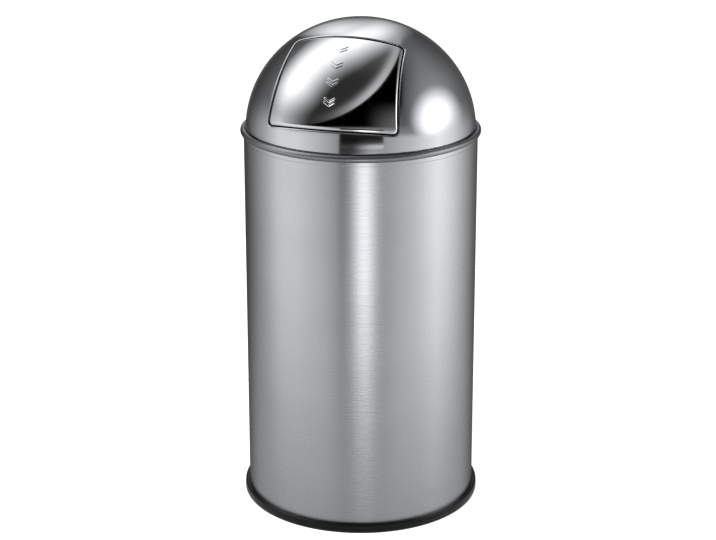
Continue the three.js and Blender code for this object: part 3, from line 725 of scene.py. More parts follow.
def spring_paths():
    """The middle lines of a spring's fixed part, its coil and upper leg, and of its moving part, the lower
    leg with the coil's first turn. Both are given across, up and out from the pin."""
    pin = np.array([0, PIN_Y, PIN_Z - DOME_CENTRE])
    hinge_up = pin[1] * math.cos(FACE_TURN) + pin[2] * math.sin(FACE_TURN)
    hinge_out = -pin[1] * math.sin(FACE_TURN) + pin[2] * math.cos(FACE_TURN)
    leg_x = SPRING_END - SPRING_PITCH * SPRING_CURLS
    seat = surface_out(leg_x, hinge_up - SPRING_LEG_ACROSS, FLAP_INSET + FLAP_SHEET) - SPRING_FLAP_GAP
    flap_end = np.array([-SPRING_LEG_ACROSS, seat - SPRING_WIRE - hinge_out])
    seat = surface_out(SPRING_END, hinge_up + SPRING_LEG_UP, LID_SHEET) - SPRING_DOME_GAP
    dome_end = np.array([SPRING_LEG_UP, seat - SPRING_WIRE - hinge_out])

    def bearing(point):
        return math.atan2(point[1], point[0])

    def lean(point):
        return math.acos(SPRING_RADIUS / np.linalg.norm(point))

    start = bearing(flap_end) - lean(flap_end)
    end = bearing(dome_end) + lean(dome_end) - 2 * math.pi * SPRING_CURLS
    coil_start = SPRING_END + SPRING_PITCH * (end - start) / (2 * math.pi)

    def coil(low, high, steps):
        share = np.linspace(low, high, steps)
        angle = start + (end - start) * share
        across = coil_start + (SPRING_END - coil_start) * share
        return np.stack([across, SPRING_RADIUS * np.cos(angle), SPRING_RADIUS * np.sin(angle)], axis=1)

    def placed(path):
        return from_face(path[:, 0], path[:, 1] + hinge_up, path[:, 2] + hinge_out)

    turn = 2 * math.pi / (start - end)
    fixed = coil(turn * SPRING_OVERLAP / 2, 1, COIL_STEPS * SPRING_CURLS)
    knee = (fixed[-1, 1:] + dome_end) / 2
    fixed = np.array([*fixed, (SPRING_END, *knee), (SPRING_END, *dome_end)])
    moving = coil(0, turn * (SPRING_OVERLAP + 0.25), 28)
    knee = (moving[0, 1:] + flap_end) / 2
    moving = np.array([(coil_start, *flap_end), (coil_start, *knee), *moving])
    return placed(fixed), placed(moving)


# ---- Bail ----


def bail_place(path):
    """Points of the bail's own plane, put where it lies back on the bucket."""
    turn = -math.radians(BAIL_REST_ANGLE)
    x, y = path[:, 0], path[:, 1]
    return np.stack([x, y * math.cos(turn), y * math.sin(turn) + BAIL_PIVOT], axis=1)


def bail_wire_path():
    bend = math.asin(BAIL_BEND / BAIL_RADIUS)
    quarter = np.radians(np.linspace(-90, 0, 9))
    middle = BAIL_RADIUS * math.cos(bend) - BAIL_BEND
    turn = np.stack([middle + BAIL_BEND * np.cos(quarter), BAIL_BEND + BAIL_BEND * np.sin(quarter)], axis=1)
    angles = np.linspace(bend, math.pi - bend, BAIL_STEPS)
    hoop = np.stack([BAIL_RADIUS * np.cos(angles), BAIL_RADIUS * np.sin(angles)], axis=1)
    right = np.concatenate([[[BAIL_END, 0]], turn])
    return np.concatenate([right[:-1], hoop, (right * [-1, 1])[::-1][1:]])


def bail_grip_mesh():
    """A moulded sleeve with shallow grooves round it, open at both ends."""
    half = math.radians(GRIP_HALF_ANGLE)
    angles = np.linspace(math.pi / 2 - half, math.pi / 2 + half, GRIP_STEPS)
    path = bail_place(np.stack([BAIL_RADIUS * np.cos(angles), BAIL_RADIUS * np.sin(angles)], axis=1))
    share = np.linspace(-1, 1, len(path))
    wave = np.cos(share * math.pi * GRIP_GROOVES / 0.8) * 0.5 + 0.5
    ribbed = np.where(np.abs(share) < 0.8, GRIP_GROOVE_DEPTH * wave**3, 0)
    ends = np.clip((1 - np.abs(share)) * len(path) / 2 / 3, 0, 1)
    radii = GRIP_RADIUS - ribbed - 0.9 * (1 - np.sqrt(1 - (1 - ends) ** 2))
    outer = loops_along(path, radii, SMALL_ROUND)
    inner = loops_along(path[::4], np.full(len(path[::4]), GRIP_BORE), SMALL_ROUND)
    loops = [*outer, *inner[::-1]]
    return new_mesh(np.concatenate(loops), joined_loops(len(loops), SMALL_ROUND, closed=True))


# ---- Materials ----


def colour(code):
    """An sRGB hex colour as linear RGBA."""
    parts = [int(code[i : i + 2], 16) / 255 for i in (1, 3, 5)]
    return (*[p / 12.92 if p <= 0.04045 else ((p + 0.055) / 1.055) ** 2.4 for p in parts], 1)


def add_node(tree, kind, inputs=None, **settings):
    """Adds a node with its settings. An input takes a value, or a link where it is given a socket."""
    made = tree.nodes.new(f"ShaderNode{kind}")
    for name, value in settings.items():
        setattr(made, name, value)
    for name, value in (inputs or {}).items():
        if isinstance(value, bpy.types.NodeSocket):
            tree.links.new(value, made.inputs[name])
        else:
            made.inputs[name].default_value = value
    return made


def new_material(name):
    material = bpy.data.materials.new(name)
    material.use_nodes = True
    material.node_tree.nodes.clear()
    return material, material.node_tree


def place_in_mm(tree):
    """The place on a piece, in millimetres of the whole bin at rest."""
    return scaled(tree, add_node(tree, "TexCoord").outputs["Object"], 1 / MM)


def scaled(tree, vector, factor):
    return add_node(tree, "VectorMath", {0: vector, "Scale": factor}, operation="SCALE").outputs[0]


def calculated(tree, operation, *values):
    return add_node(tree, "Math", dict(enumerate(values)), operation=operation).outputs[0]


def noise(tree, vector, size, detail=2.0, roughness=0.5):
    """Noise whose blotches are about size millimetres across."""
    inputs = {"Vector": vector, "Scale": 1 / size, "Detail": detail, "Roughness": roughness}
    return add_node(tree, "TexNoise", inputs).outputs["Fac"]


def ranged(tree, value, low, high, from_low=0.0, from_high=1.0):
    inputs = {"Value": value, "From Min": from_low, "From Max": from_high, "To Min": low, "To Max": high}
    return add_node(tree, "MapRange", inputs).outputs["Result"]


def blended(tree, fac, first, second):
    """A colour between two, each of which is a colour or a socket."""
    made = add_node(tree, "Mix", {0: fac}, data_type="RGBA")
    for socket, value in zip([s for s in made.inputs if s.type == "RGBA"], (first, second)):
        if isinstance(value, bpy.types.NodeSocket):
            tree.links.new(value, socket)
        else:
            socket.default_value = value
    return next(s for s in made.outputs if s.type == "RGBA")


def tinted(tree, fac, first, second):
    return blended(tree, fac, colour(first), colour(second))


def bumped(tree, height, distance):
    inputs = {"Height": height, "Distance": distance * MM, "Strength": 1.0}
    return add_node(tree, "Bump", inputs).outputs["Normal"]


def finished(tree, inputs):
    surface = add_node(tree, "BsdfPrincipled", inputs)
    add_node(tree, "OutputMaterial", {"Surface": surface.outputs["BSDF"]})


def patchy(name, tints, patches, gloss, grain, shader):
    """A finish with soft patches. patches gives their size in millimetres and detail, gloss the roughness of
    the shiniest and the dullest, and grain the size, detail and height of the relief."""
    material, tree = new_material(name)
    place = place_in_mm(tree)
    shade = noise(tree, place, *patches)
    inputs = {"Base Color": tinted(tree, shade, *tints), "Roughness": ranged(tree, shade, *gloss, 0.3, 0.7)}
    if grain:
        size, detail, height = grain
        inputs["Normal"] = bumped(tree, noise(tree, place, size, detail), height)
    finished(tree, inputs | shader)
    return material


def round_place(tree, along, across, outward):
    """The place as arc length round the bin, height and distance from the axis, each over a grain size."""
    x, y, z = add_node(tree, "SeparateXYZ", {0: place_in_mm(tree)}).outputs
    angle = calculated(tree, "ARCTAN2", x, calculated(tree, "MULTIPLY", y, -1.0))
    flat = {0: place_in_mm(tree), 1: (1, 1, 0)}
    level = add_node(tree, "VectorMath", flat, operation="MULTIPLY").outputs[0]
    radius = add_node(tree, "VectorMath", {0: level}, operation="LENGTH").outputs["Value"]
    place = {
        "X": calculated(tree, "MULTIPLY", angle, DRUM_RADIUS / along),
        "Y": calculated(tree, "MULTIPLY", z, 1 / across),
        "Z": calculated(tree, "MULTIPLY", radius, 1 / outward),
    }
    return add_node(tree, "CombineXYZ", place).outputs[0]


METAL = {"Metallic": 1.0}
GRAIN_ALONG = 90
GRAIN_ACROSS = 1.6
GRAIN_GLOSS = 0.01
GRAIN_HEIGHT = 0.001
BEAD_ROUGHNESS = 0.25
# The share of its colour that the bead keeps: painted shade that dims the bead's highlight.
BEAD_PAINTED_SHADE = 0.5


def satin_stainless(name, grain_contrast, roughness, spread, bead_top=0.0):
    """Stainless sheet, satin-ground round the bin. The grain's lines are 0.1 mm wide on the real sheet and are
    drawn 1.6 mm wide, so that they just show as level streaks, and they spread highlights up and down. Under
    bead_top the sheet, formed into the bead after it was ground, is rougher, and its colour is darkened there
    as painted shade that dims the bead's highlight."""
    material, tree = new_material(name)
    streaks = noise(tree, round_place(tree, GRAIN_ALONG, GRAIN_ACROSS, 40), 1, 3, 0.6)
    clouds = noise(tree, round_place(tree, 180, 60, 200), 1, 2)
    mixed = calculated(tree, "ADD", clouds, ranged(tree, streaks, -grain_contrast, grain_contrast))
    rough = ranged(tree, streaks, roughness - GRAIN_GLOSS, roughness + GRAIN_GLOSS, 0.3, 0.7)
    steel = tinted(tree, mixed, "#c2c4c8", "#cccdd0")
    if bead_top:
        height = add_node(tree, "SeparateXYZ", {0: place_in_mm(tree)}).outputs["Z"]
        # The bead under bead_top, which gets more roughness and a painted shade.
        bead_rough_and_painted_shade = ranged(tree, height, 1.0, 0.0, bead_top - 1, bead_top + 1)
        rough = calculated(tree, "MULTIPLY_ADD", bead_rough_and_painted_shade, BEAD_ROUGHNESS, rough)
        # Painted shade: the bead's colour is darkened to dim its highlight.
        steel = blended(tree, bead_rough_and_painted_shade, steel, scaled(tree, steel, BEAD_PAINTED_SHADE))
    inputs = {
        "Base Color": steel,
        "Roughness": rough,
        "Anisotropic": spread,
        "Anisotropic Rotation": 0.25,
        "Tangent": add_node(tree, "Tangent", direction_type="RADIAL", axis="Z").outputs[0],
        "Normal": bumped(tree, streaks, GRAIN_HEIGHT),
    }
    finished(tree, inputs | METAL)
    return material


CRYSTAL_SIZE = 9
CRYSTAL_WARP_SIZE = 12
CRYSTAL_WARP = 6.0


def galvanised_steel():
    """Hot-dip galvanised sheet: zinc crystals 9 mm across, each a slightly different grey and gloss."""
    material, tree = new_material("galvanised_steel")
    place = place_in_mm(tree)
    wide = {"Vector": place, "Scale": 1 / CRYSTAL_WARP_SIZE, "Detail": 2.0}
    warp = add_node(tree, "TexNoise", wide)
    shift = {0: place, 1: scaled(tree, warp.outputs["Color"], CRYSTAL_WARP)}
    bent = add_node(tree, "VectorMath", shift, operation="ADD").outputs[0]
    cells = {"Vector": bent, "Scale": 1 / CRYSTAL_SIZE}
    crystals = add_node(tree, "TexVoronoi", cells)
    grey = add_node(tree, "SeparateColor", {0: crystals.outputs["Color"]}).outputs[0]
    edges = add_node(tree, "TexVoronoi", cells, feature="DISTANCE_TO_EDGE")
    inputs = {
        "Base Color": tinted(tree, grey, "#9a9ea2", "#b7babd"),
        "Roughness": ranged(tree, grey, 0.38, 0.52),
        "Normal": bumped(tree, ranged(tree, edges.outputs["Distance"], 0.0, 1.0, 0.0, 0.12), 0.01),
    }
    finished(tree, inputs | METAL)
    return material


satin_drum = satin_stainless("satin_stainless_drum", 0.25, 0.27, 0.85)
satin_lid = satin_stainless("satin_stainless_lid", 0.2, 0.11, 0.5, DOME_CENTRE + BEAD_RADIUS)

# Stainless sheet buffed to a mirror. The sheet's own faint waviness, 25 mm from crest to crest, bends
# reflections a little, and hairlines left by the buffing wheel soften them.
mirror = patchy(
    "mirror_stainless", ("#d3d4d6", "#dadbdd"), (9, 4, 0.6), (0.035, 0.07), (25, 1, 0.006), METAL
)

galvanised = galvanised_steel()

# Bright zinc plating on small steel parts: pale and slightly blue, a little uneven.
zinc = patchy("zinc_plated_steel", ("#b3b7bc", "#c6c8ca"), (6, 3), (0.26, 0.38), (0.8, 2, 0.006), METAL)

# Hard-drawn spring wire: dark, with a thin film of oil that shines in patches.
sprung = patchy("spring_steel", ("#6b6c70", "#85868a"), (3, 3), (0.28, 0.4), None, METAL)

# Moulded black rubber: deep black with a soft sheen, and a faint grain 0.7 mm across.
rubber = patchy(
    "black_rubber",
    ("#070708", "#0d0d0f"),
    (30, 3), (0.26, 0.36), (0.7, 2, 0.02),
    {"IOR": 1.52, "Specular IOR Level": 0.3},
)

# Moulded polypropylene: matt black with a fine spark-eroded texture, 0.5 mm across.
plastic = patchy(
    "black_plastic", ("#161618", "#1e1e21"), (18, 2), (0.46, 0.58), (0.5, 2, 0.025), {"IOR": 1.49}
)


# ---- The bin's pieces ----

BACK = math.pi / 2


def weld(angles):
    """A fine weld bead down the back of the drum."""
    away = (angles - BACK) * DRUM_RADIUS
    return WELD_PROUD * np.exp(-((away / (WELD_HALF_WIDTH / 2)) ** 2))


def lock_seam(angles):
    """The bucket's folded seam, down its back."""
    away = np.abs((angles - BACK) * BUCKET_RADIUS)
    return BUCKET_SEAM_PROUD * np.clip(BUCKET_SEAM_HALF_WIDTH + 0.5 - away, 0, 0.5) / 0.5


ring_profile = rounded([
    (RING_INNER, 0, 0.6), (RING_RADIUS, 0, 1.6), (RING_RADIUS, 5.4, 0.5), (RING_RADIUS - 0.5, 6, 0.3),
    (RING_RADIUS - 0.3, 6.6, 0.4), (RING_RADIUS - 0.3, RING_HEIGHT, 3),
    (RING_GROOVE, RING_HEIGHT, 0.4), (RING_GROOVE, RING_FLOOR, 0.2), (RING_INNER, RING_FLOOR, 0.6),
], 6)
plate_profile = rounded([
    (0, PLATE_HIGH), (PLATE_SLOPE_IN, PLATE_HIGH, 2), (PLATE_RIM_IN, PLATE_LOW, 2),
    (PLATE_EDGE, PLATE_LOW, 1.4), (PLATE_EDGE, PLATE_FLANGE_TOP, 0.3),
    (PLATE_EDGE - PLATE_SHEET, PLATE_FLANGE_TOP, 0.3),
    (PLATE_EDGE - PLATE_SHEET, PLATE_LOW + PLATE_SHEET, 0.8),
    (PLATE_RIM_IN + 0.5, PLATE_LOW + PLATE_SHEET, 2),
    (PLATE_SLOPE_IN + 0.5, PLATE_HIGH + PLATE_SHEET, 2), (0, PLATE_HIGH + PLATE_SHEET),
])
hole_profile = (
    (0, -1), (RIVET_RECESS_RADIUS, -1), (RIVET_RECESS_RADIUS, RIVET_RECESS), (RIVET_HOLE, RIVET_RECESS),
    (RIVET_HOLE, RING_FLOOR + 1), (0, RING_FLOOR + 1),
)
ring = piece("base_ring", turned(ring_profile, round_angles(FINE_ROUND)), "drum", rubber)
piece("base_plate", turned_disc(plate_profile), "drum", galvanised)
for number, angle in enumerate(np.radians((45, 135, 225, 315)), 1):
    place = (RIVET_CIRCLE * math.cos(angle), RIVET_CIRCLE * math.sin(angle), 0)
    cut(ring, moved(turned_disc(hole_profile, SMALL_ROUND), *place))
    piece(f"base_rivet_{number}", moved(turned_disc(RIVET_PROFILE, SMALL_ROUND), *place), "drum", zinc)

hem_low = DRUM_TOP - HEM_HEIGHT
shell_profile = rounded([
    (DRUM_BORE, DRUM_FOOT, 0.2), (DRUM_RADIUS, DRUM_FOOT, 0.2), (DRUM_RADIUS, 200),
    (DRUM_RADIUS, 400), (DRUM_RADIUS, hem_low - 0.5, 0.3), (HEM_RADIUS, hem_low, 0.4),
    (HEM_RADIUS, DRUM_TOP, 0.8), (DRUM_BORE, DRUM_TOP, 0.4),
])
seam_angles = round_angles(FINE_ROUND, BACK, 2.4 / DRUM_RADIUS, 0.24 / DRUM_RADIUS)
shell = turned(shell_profile, seam_angles, weld(seam_angles))
piece("drum_shell", shell, "drum", satin_drum)

piece("lid_dome", lid_dome_mesh(), "lid", satin_lid)
piece("lid_collar", lid_collar_mesh(), "lid", plastic)
piece("push_flap", push_flap_mesh(), "flap", mirror)

pin_half = [
    (0, -PIN_HALF_LENGTH), (PIN_RADIUS - 0.6, -PIN_HALF_LENGTH),
    (PIN_RADIUS - 0.1, 0.5 - PIN_HALF_LENGTH), (PIN_RADIUS, 1 - PIN_HALF_LENGTH),
]
pin = turned_disc(pin_half + [(r, -z) for r, z in pin_half[::-1]], SMALL_ROUND)
piece("hinge_pin", moved(pin, 0, PIN_Y, PIN_Z, BACK), "lid", zinc)

HINGE_PARTS = ("hinge_bracket", "hinge_clip", "torsion_spring", "flap_ear", "flap_bumper")
fixed_path, moving_path = spring_paths()
for side, sign in (("left", -1), ("right", 1)):
    bracket, clip, spring, ear, bumper = (f"{part}_{side}" for part in HINGE_PARTS)
    flip = np.array([sign, 1, 1])
    piece(bracket, dressed(bracket, PRESSED_EDGE), "lid", zinc)
    piece(clip, dressed(clip, CLIP_EDGE), "lid", sprung)
    piece(f"{spring}_coil", wire(fixed_path * flip, SPRING_WIRE), "lid", sprung, spring)
    piece(f"{spring}_leg", wire(moving_path * flip, SPRING_WIRE), "flap", sprung, spring)
    piece(ear, dressed(ear, PRESSED_EDGE), "flap", zinc)
    piece(f"flap_tab_{side}", stop_tab_mesh(sign), "flap", mirror, "push_flap")
    piece(bumper, dressed(bumper, BUMPER_EDGE), "flap", rubber)

wall_top = BUCKET_TOP - 2 * BUCKET_BEAD
wall_profile = [
    *rounded(
        [
            (BUCKET_FOOT_RADIUS - BUCKET_SHEET, BUCKET_FOOT, 0.2), (BUCKET_FOOT_RADIUS, BUCKET_FOOT, 0.2),
            (BUCKET_RADIUS - 0.16, wall_top, 0.6), (BUCKET_RADIUS + 1.2, wall_top + 0.5),
        ]
    )[:-1],
    *arc(BUCKET_RADIUS + BUCKET_BEAD / 2, BUCKET_TOP - BUCKET_BEAD, BUCKET_BEAD, -98, 128, 18),
    (BUCKET_RADIUS - BUCKET_SHEET, wall_top + 2.8), (BUCKET_RADIUS - BUCKET_SHEET - 0.16, wall_top),
]
seam_angles = round_angles(ROUND, BACK, 6 / BUCKET_RADIUS, 0.5 / BUCKET_RADIUS)
piece("bucket_wall", turned(wall_profile, seam_angles, lock_seam(seam_angles)), "bucket", galvanised)

base_in = BUCKET_FOOT_RADIUS - BUCKET_SHEET - 0.3
base_low = BUCKET_BASE_TOP - BUCKET_BASE_FLANGE
base_profile = rounded([
    (0, BUCKET_BASE_TOP - BUCKET_SHEET),
    (base_in + 0.15 - BUCKET_SHEET, BUCKET_BASE_TOP - BUCKET_SHEET, 1),
    (base_in - BUCKET_SHEET, base_low, 0.2), (base_in, base_low, 0.2),
    (base_in + 0.15, BUCKET_BASE_TOP, 1.6), (0, BUCKET_BASE_TOP),
])
piece("bucket_base", turned_disc(base_profile), "bucket", galvanised)

# Half of an ear rivet's profile, as radius and distance from the head's face. Both ends are set alike.
head_profile = (
    (0, -EAR_RIVET_THICK), (EAR_RIVET_HEAD * 0.6, -EAR_RIVET_THICK * 0.93),
    (EAR_RIVET_HEAD * 0.9, -EAR_RIVET_THICK * 0.5), (EAR_RIVET_HEAD, 0), (EAR_RIVET_SHANK, 0),
)
rivet_profile = [(r, EAR_RIVET_INNER + z) for r, z in head_profile]
rivet_profile += [(r, EAR_RIVET_OUTER - z) for r, z in head_profile[::-1]]
for side, sign in (("left", -1), ("right", 1)):
    ear = f"bucket_ear_{side}"
    piece(ear, dressed(ear, EAR_EDGE), "bucket", galvanised)
    for row, along in (("front", -1), ("back", 1)):
        rivet = turned_disc(rivet_profile, SMALL_ROUND)
        moved(rivet, 0, along * EAR_RIVET_ROW, EAR_RIVET_HEIGHT, sign * BACK)
        piece(f"ear_rivet_{side}_{row}", rivet, "bucket", zinc)

piece("bail_wire", wire(bail_place(bail_wire_path()), BAIL_WIRE, BAIL_ROUND), "bail", zinc)
piece("bail_grip", bail_grip_mesh(), "bail", plastic)

# ---- Studio ----

CAMERA_AZIMUTH = 17
CAMERA_DISTANCE = 2.73825
CAMERA_HEIGHT = 1.287335
CAMERA_PITCH = 17.661
PHOTO_WIDTH = 716
PHOTO_HEIGHT = 540
FOCAL_PIXELS = 1888.933
AXIS_PIXEL_X = 360.788
AXIS_PIXEL_Y = 232


def round_the_bin(azimuth, distance, height):
    """Points by their azimuth from the camera and their distance from the bin's axis, in metres."""
    heading = np.radians(azimuth + CAMERA_AZIMUTH)
    places = np.broadcast_arrays(distance * np.sin(heading), -distance * np.cos(heading), height)
    return np.stack(places, axis=-1)


camera_data = bpy.data.cameras.new("photo_camera")
camera_data.sensor_width = 36
camera_data.lens = FOCAL_PIXELS * camera_data.sensor_width / PHOTO_WIDTH
camera_data.shift_x = (PHOTO_WIDTH / 2 - AXIS_PIXEL_X) / PHOTO_WIDTH
camera_data.shift_y = (AXIS_PIXEL_Y - PHOTO_HEIGHT / 2) / PHOTO_WIDTH
camera = put_in_scene("photo_camera", camera_data)
camera.location = round_the_bin(0, CAMERA_DISTANCE, CAMERA_HEIGHT)
camera.rotation_euler = (math.radians(90 - CAMERA_PITCH), 0, math.radians(CAMERA_AZIMUTH))
scene.camera = camera


def seen_directly(tree):
    """1 for the camera and for what shows in metal or glass, and 0 for light that falls on a matt surface."""
    path = add_node(tree, "LightPath").outputs
    mirrored = calculated(tree, "MAXIMUM", path["Is Camera Ray"], path["Is Glossy Ray"])
    return calculated(tree, "MAXIMUM", mirrored, path["Is Transmission Ray"])


def emission(tree, strength):
    return add_node(tree, "Emission", {"Color": WHITE, "Strength": strength}).outputs[0]


WHITE = (1, 1, 1, 1)
ROOM_LIGHT = 0.5
FLOOR_GLOW = 0.72
FLOOR_REACH = 40

world = bpy.data.worlds.new("white_studio")
scene.world = world
world.use_nodes = True
world.node_tree.nodes.clear()
strength = ranged(world.node_tree, seen_directly(world.node_tree), ROOM_LIGHT, 1.0)
backdrop = add_node(world.node_tree, "Background", {"Color": WHITE, "Strength": strength})
add_node(world.node_tree, "OutputWorld", {"Surface": backdrop.outputs[0]})

# The floor is white board: lit from above, it takes the bin's shadow, and its glow keeps it white.
floor_material, tree = new_material("white_floor")
board = add_node(tree, "BsdfDiffuse", {"Color": colour("#e8e8e8")})
glow = emission(tree, ranged(tree, seen_directly(tree), 0.0, FLOOR_GLOW))
both = add_node(tree, "AddShader", {0: board.outputs[0], 1: glow})
add_node(tree, "OutputMaterial", {"Surface": both.outputs[0]})
floor_mesh = bpy.data.meshes.new("floor")
corners = [(x * FLOOR_REACH, y * FLOOR_REACH, 0) for x, y in ((-1, -1), (1, -1), (1, 1), (-1, 1))]
floor_mesh.from_pydata(corners, [], [(0, 1, 2, 3)])
floor_mesh.materials.append(floor_material)
floor = put_in_scene("floor", floor_mesh)

# The studio's soft panels and dark flags round the bin, which show only in its shiny metal. Azimuths are in
# degrees from the photograph's camera, positive to its right, and elevations are over the horizon.
TENT_RADIUS = 3.0
CAMERA_RISE = 14.5
WALL_AZIMUTHS = (-170, -150, -130, -105, -85, -65, -40, -20, 22, 50, 80, 100, 120, 145, 170)
WALL_LEVELS = (0.05, 0.07, 0.24, 0.6, 1.05, 1.07, 0.74, 0.42, 0.5, 0.85, 1.38, 1.05, 0.6, 0.18, 0.05)
SLOT_LEFT = -20.4
SLOT_RIGHT = 21.4
STRIP_AZIMUTH = 3
STRIP_HALF_WIDTH = 10.5

# Where the lights and flags have their middles on the mirror ball, and how bright they are.
LEFT_LIGHT_U, LEFT_LIGHT_V = 0.2, -0.05
RIGHT_LIGHT_U, RIGHT_LIGHT_V = 0.63, 0.085
FLAG_U, FLAG_V = -0.55, 0.95
ROOF_LEVEL = 1.9
LEFT_LIGHT_LEVEL = 1.95
RIGHT_LIGHT_LEVEL = 2.4
HALO_LEVEL = 0.13
BEHIND_LEVEL = 0.12
DARK_LEVEL = 0.01


def smooth(low, high, value):
    share = np.clip((value - low) / (high - low), 0, 1)
    return share * share * (3 - 2 * share)


def bell(value, middle, half_width):
    return np.exp(-(((value - middle) / half_width) ** 2))


def painted(glow, level, mask):
    return glow * (1 - mask) + level * mask


def on_mirror_ball(azimuth, elevation):
    """Where a mirror ball in the lid's place would show a direction, across and up, each from -1 to 1."""
    azimuth, elevation, rise = np.radians(azimuth), np.radians(elevation), math.radians(CAMERA_RISE)
    across = np.cos(elevation) * np.sin(azimuth)
    up = np.sin(elevation) + math.sin(rise)
    near = np.cos(elevation) * np.cos(azimuth) + math.cos(rise)
    length = np.sqrt(across**2 + up**2 + near**2)
    return across / length, (up * math.cos(rise) - near * math.sin(rise)) / length


def wall_glow(azimuth):
    """The low walls: two broad soft panels, left and right of the camera, that fade to grey behind."""
    return np.interp(azimuth, WALL_AZIMUTHS, WALL_LEVELS)


def slot_mask(azimuth):
    from_left = smooth(SLOT_LEFT - 0.5, SLOT_LEFT + 0.5, azimuth)
    return from_left * smooth(SLOT_RIGHT + 0.5, SLOT_RIGHT - 0.5, azimuth)


def tent_glow(azimuth, elevation):
    """How bright the studio's walls and roof are in each direction."""
    u, v = on_mirror_ball(azimuth, elevation)
    glow = 0.05 + 0.19 * smooth(1.0, 0.72, np.hypot(u, v))
    # a light roof behind the bin
    roof = ROOF_LEVEL * smooth(1.02, 0.8, v) * smooth(0.5, 0.05, u) * smooth(-0.62, -0.1, u)
    glow = np.maximum(glow, roof * smooth(0.78, 0.84, v))
    # a shaded roof in front, and round its far side the large light at the left
    ring = np.hypot(u - LEFT_LIGHT_U, v - LEFT_LIGHT_V)
    turn = np.degrees(np.arctan2(v - LEFT_LIGHT_V, u - LEFT_LIGHT_U))
    shade = smooth(0.52, 0.28, u) * smooth(0.0, 0.04, v) * smooth(1.02, 0.8, ring)
    glow = painted(glow, 0.035 + 0.12 * smooth(0.4, 0.8, v), shade)
    slant = 0.1 * smooth(112, 78, turn) + 0.03 * smooth(150, 170, turn)
    band = smooth(0.53, 0.9, ring - slant) ** 1.4 * smooth(1.07, 0.86, ring)
    fade = smooth(72, 96, turn) * (1 - 0.62 * smooth(146, 170, turn)) * smooth(-0.02, 0.05, v)
    glow = np.maximum(glow, LEFT_LIGHT_LEVEL * fade * band)
    # a round light at the right, with a halo
    above = v - RIGHT_LIGHT_V
    away = np.hypot((u - RIGHT_LIGHT_U) / 0.27, above / np.where(above > 0, 0.37, 0.3))
    glow = np.maximum(glow, RIGHT_LIGHT_LEVEL * smooth(1, 0.12, away)) + HALO_LEVEL * bell(away, 0, 1.25)
    glow = glow + 0.04 * bell(u, 0.62, 0.16) * bell(v, 0.4, 0.12)
    # a black flag in front of the camera, and the lit edge of the roof over it
    flag = np.hypot(u - FLAG_U, v - FLAG_V)
    reach = smooth(0.36, 0.32, u) * smooth(0.01, 0.035, v) * smooth(-0.6, -0.5, u)
    glow = painted(glow, 0.0, smooth(0.905, 0.925, flag) * reach * smooth(0.93, 0.9, ring))
    edge = bell(np.minimum(flag, 0.89), 0.89, 0.045) * smooth(0.915, 0.905, flag)
    edge = edge * bell(u, 0.1, 0.26) * smooth(0.85, 0.7, v)
    glow = glow + 0.6 * edge * reach + 0.2 * smooth(0.02, 0.36, u) * smooth(0.26, 0.02, v) * reach
    # the low walls, and the dark slot between them with two dim bands across it
    limb = smooth(0.55, 0.85, np.abs(u))
    foot = -0.02 - 0.05 * (np.minimum(u, 0.4) + 0.4)
    glow = painted(glow, wall_glow(azimuth), smooth(0.03 + 0.33 * limb, -0.01, v - foot))
    glow = painted(glow, BEHIND_LEVEL, smooth(0.955, 0.985, np.hypot(u, v)))
    slot = slot_mask(azimuth)
    glow = painted(glow, DARK_LEVEL, slot * smooth(14, 12, elevation))
    for height, spread, level in ((-3.4, 2.3, 1.15), (-9.0, 1.8, 0.8)):
        band = slot * bell(elevation, height, spread)
        glow = painted(glow, level * (0.08 + 0.92 * smooth(-9, 13, azimuth)), band)
    return glow


def boards_glow(azimuth, distance):
    """How bright the floor boards are, by the azimuth in which the drum shows them and how far from it."""
    strip = (1.0 + 4.2 * smooth(0.85, 1.8, distance)) * bell(azimuth, STRIP_AZIMUTH, STRIP_HALF_WIDTH)
    far = painted(wall_glow(azimuth) + strip, DARK_LEVEL, slot_mask(azimuth) * smooth(1.95, 2.1, distance))
    near = 0.36 + 0.1 * wall_glow(azimuth) + 0.05 * strip + 0.04 * bell(azimuth, 10, 55)
    near = near * (0.25 + 0.75 * smooth(165, 120, np.abs(azimuth)))
    glow = painted(near, far, smooth(0.0, 1.35, distance))
    return glow + 0.16 * bell(distance, 0.75, 0.5) * bell(np.abs(azimuth - STRIP_AZIMUTH), 38, 22)


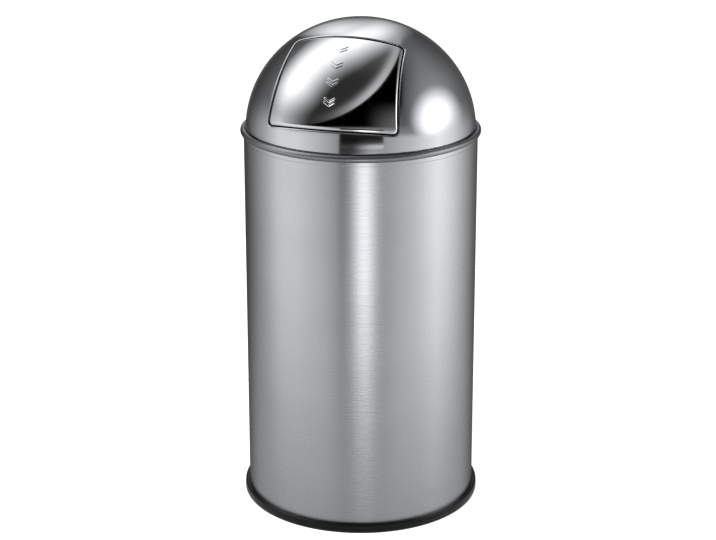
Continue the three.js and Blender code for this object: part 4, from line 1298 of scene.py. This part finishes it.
def studio_mesh(name, points, glow):
    """A grid of glowing points that shows in reflections only."""
    mesh = bpy.data.meshes.new(name)
    mesh.from_pydata(points.reshape(-1, 3).tolist(), [], grid_cells(*points.shape[:2]))
    levels = mesh.attributes.new("glow", "FLOAT", "POINT").data
    levels.foreach_set("value", glow.ravel().astype(np.float32))
    mesh.materials.append(studio_material)
    made = put_in_scene(name, mesh)
    made.visible_camera = False
    made.visible_diffuse = False
    made.visible_shadow = False
    made.visible_volume_scatter = False


studio_material, tree = new_material("studio_panels")
level = add_node(tree, "Attribute", attribute_name="glow").outputs["Fac"]
add_node(tree, "OutputMaterial", {"Surface": emission(tree, level)})

TENT_MIDDLE = DOME_CENTRE * MM
BOARDS_HEIGHT = 0.0005
azimuths = np.linspace(-180, 180, 721)
lowest = math.degrees(math.asin(-TENT_MIDDLE / TENT_RADIUS)) + 0.02
azimuth, elevation = np.meshgrid(azimuths, np.linspace(lowest, 90, 241))
out, up = np.cos(np.radians(elevation)), np.sin(np.radians(elevation))
tent = round_the_bin(azimuth, TENT_RADIUS * out, TENT_RADIUS * up + TENT_MIDDLE)
studio_mesh("studio_tent", tent, tent_glow(azimuth, elevation))

# Where on the drum's side the photograph's camera would see each point of the floor boards mirrored.
drum = DRUM_RADIUS * MM
distances = np.concatenate([np.linspace(0.185, 0.5, 40), np.geomspace(0.51, TENT_RADIUS, 80)])
azimuth, distance = np.meshgrid(azimuths, distances)
lean = np.radians(azimuth) / 2
for _ in range(30):
    lean = (np.radians(azimuth) + np.arcsin(np.clip(drum * np.sin(lean) / distance, -1, 1))) / 2
boards = round_the_bin(azimuth, distance, BOARDS_HEIGHT)
studio_mesh("studio_floor_boards", boards, boards_glow(np.degrees(2 * lean), distance - drum))

for name, place, size, power in (
    ("overhead_softbox", (-0.4, -0.7, 2.6), 1.8, 32),
    ("left_softbox", (-2.2, -1.0, 1.4), 1.4, 14),
    ("right_softbox", (2.1, -0.9, 1.1), 1.2, 12),
):
    light = bpy.data.lights.new(name, "AREA")
    light.size = size
    light.energy = power
    lamp = put_in_scene(name, light)
    lamp.location = place
    aim = Vector((0, 0, 0.35)) - lamp.location
    lamp.rotation_euler = aim.to_track_quat("-Z", "Y").to_euler()
    lamp.visible_glossy = False

scene.view_settings.view_transform = "Standard"
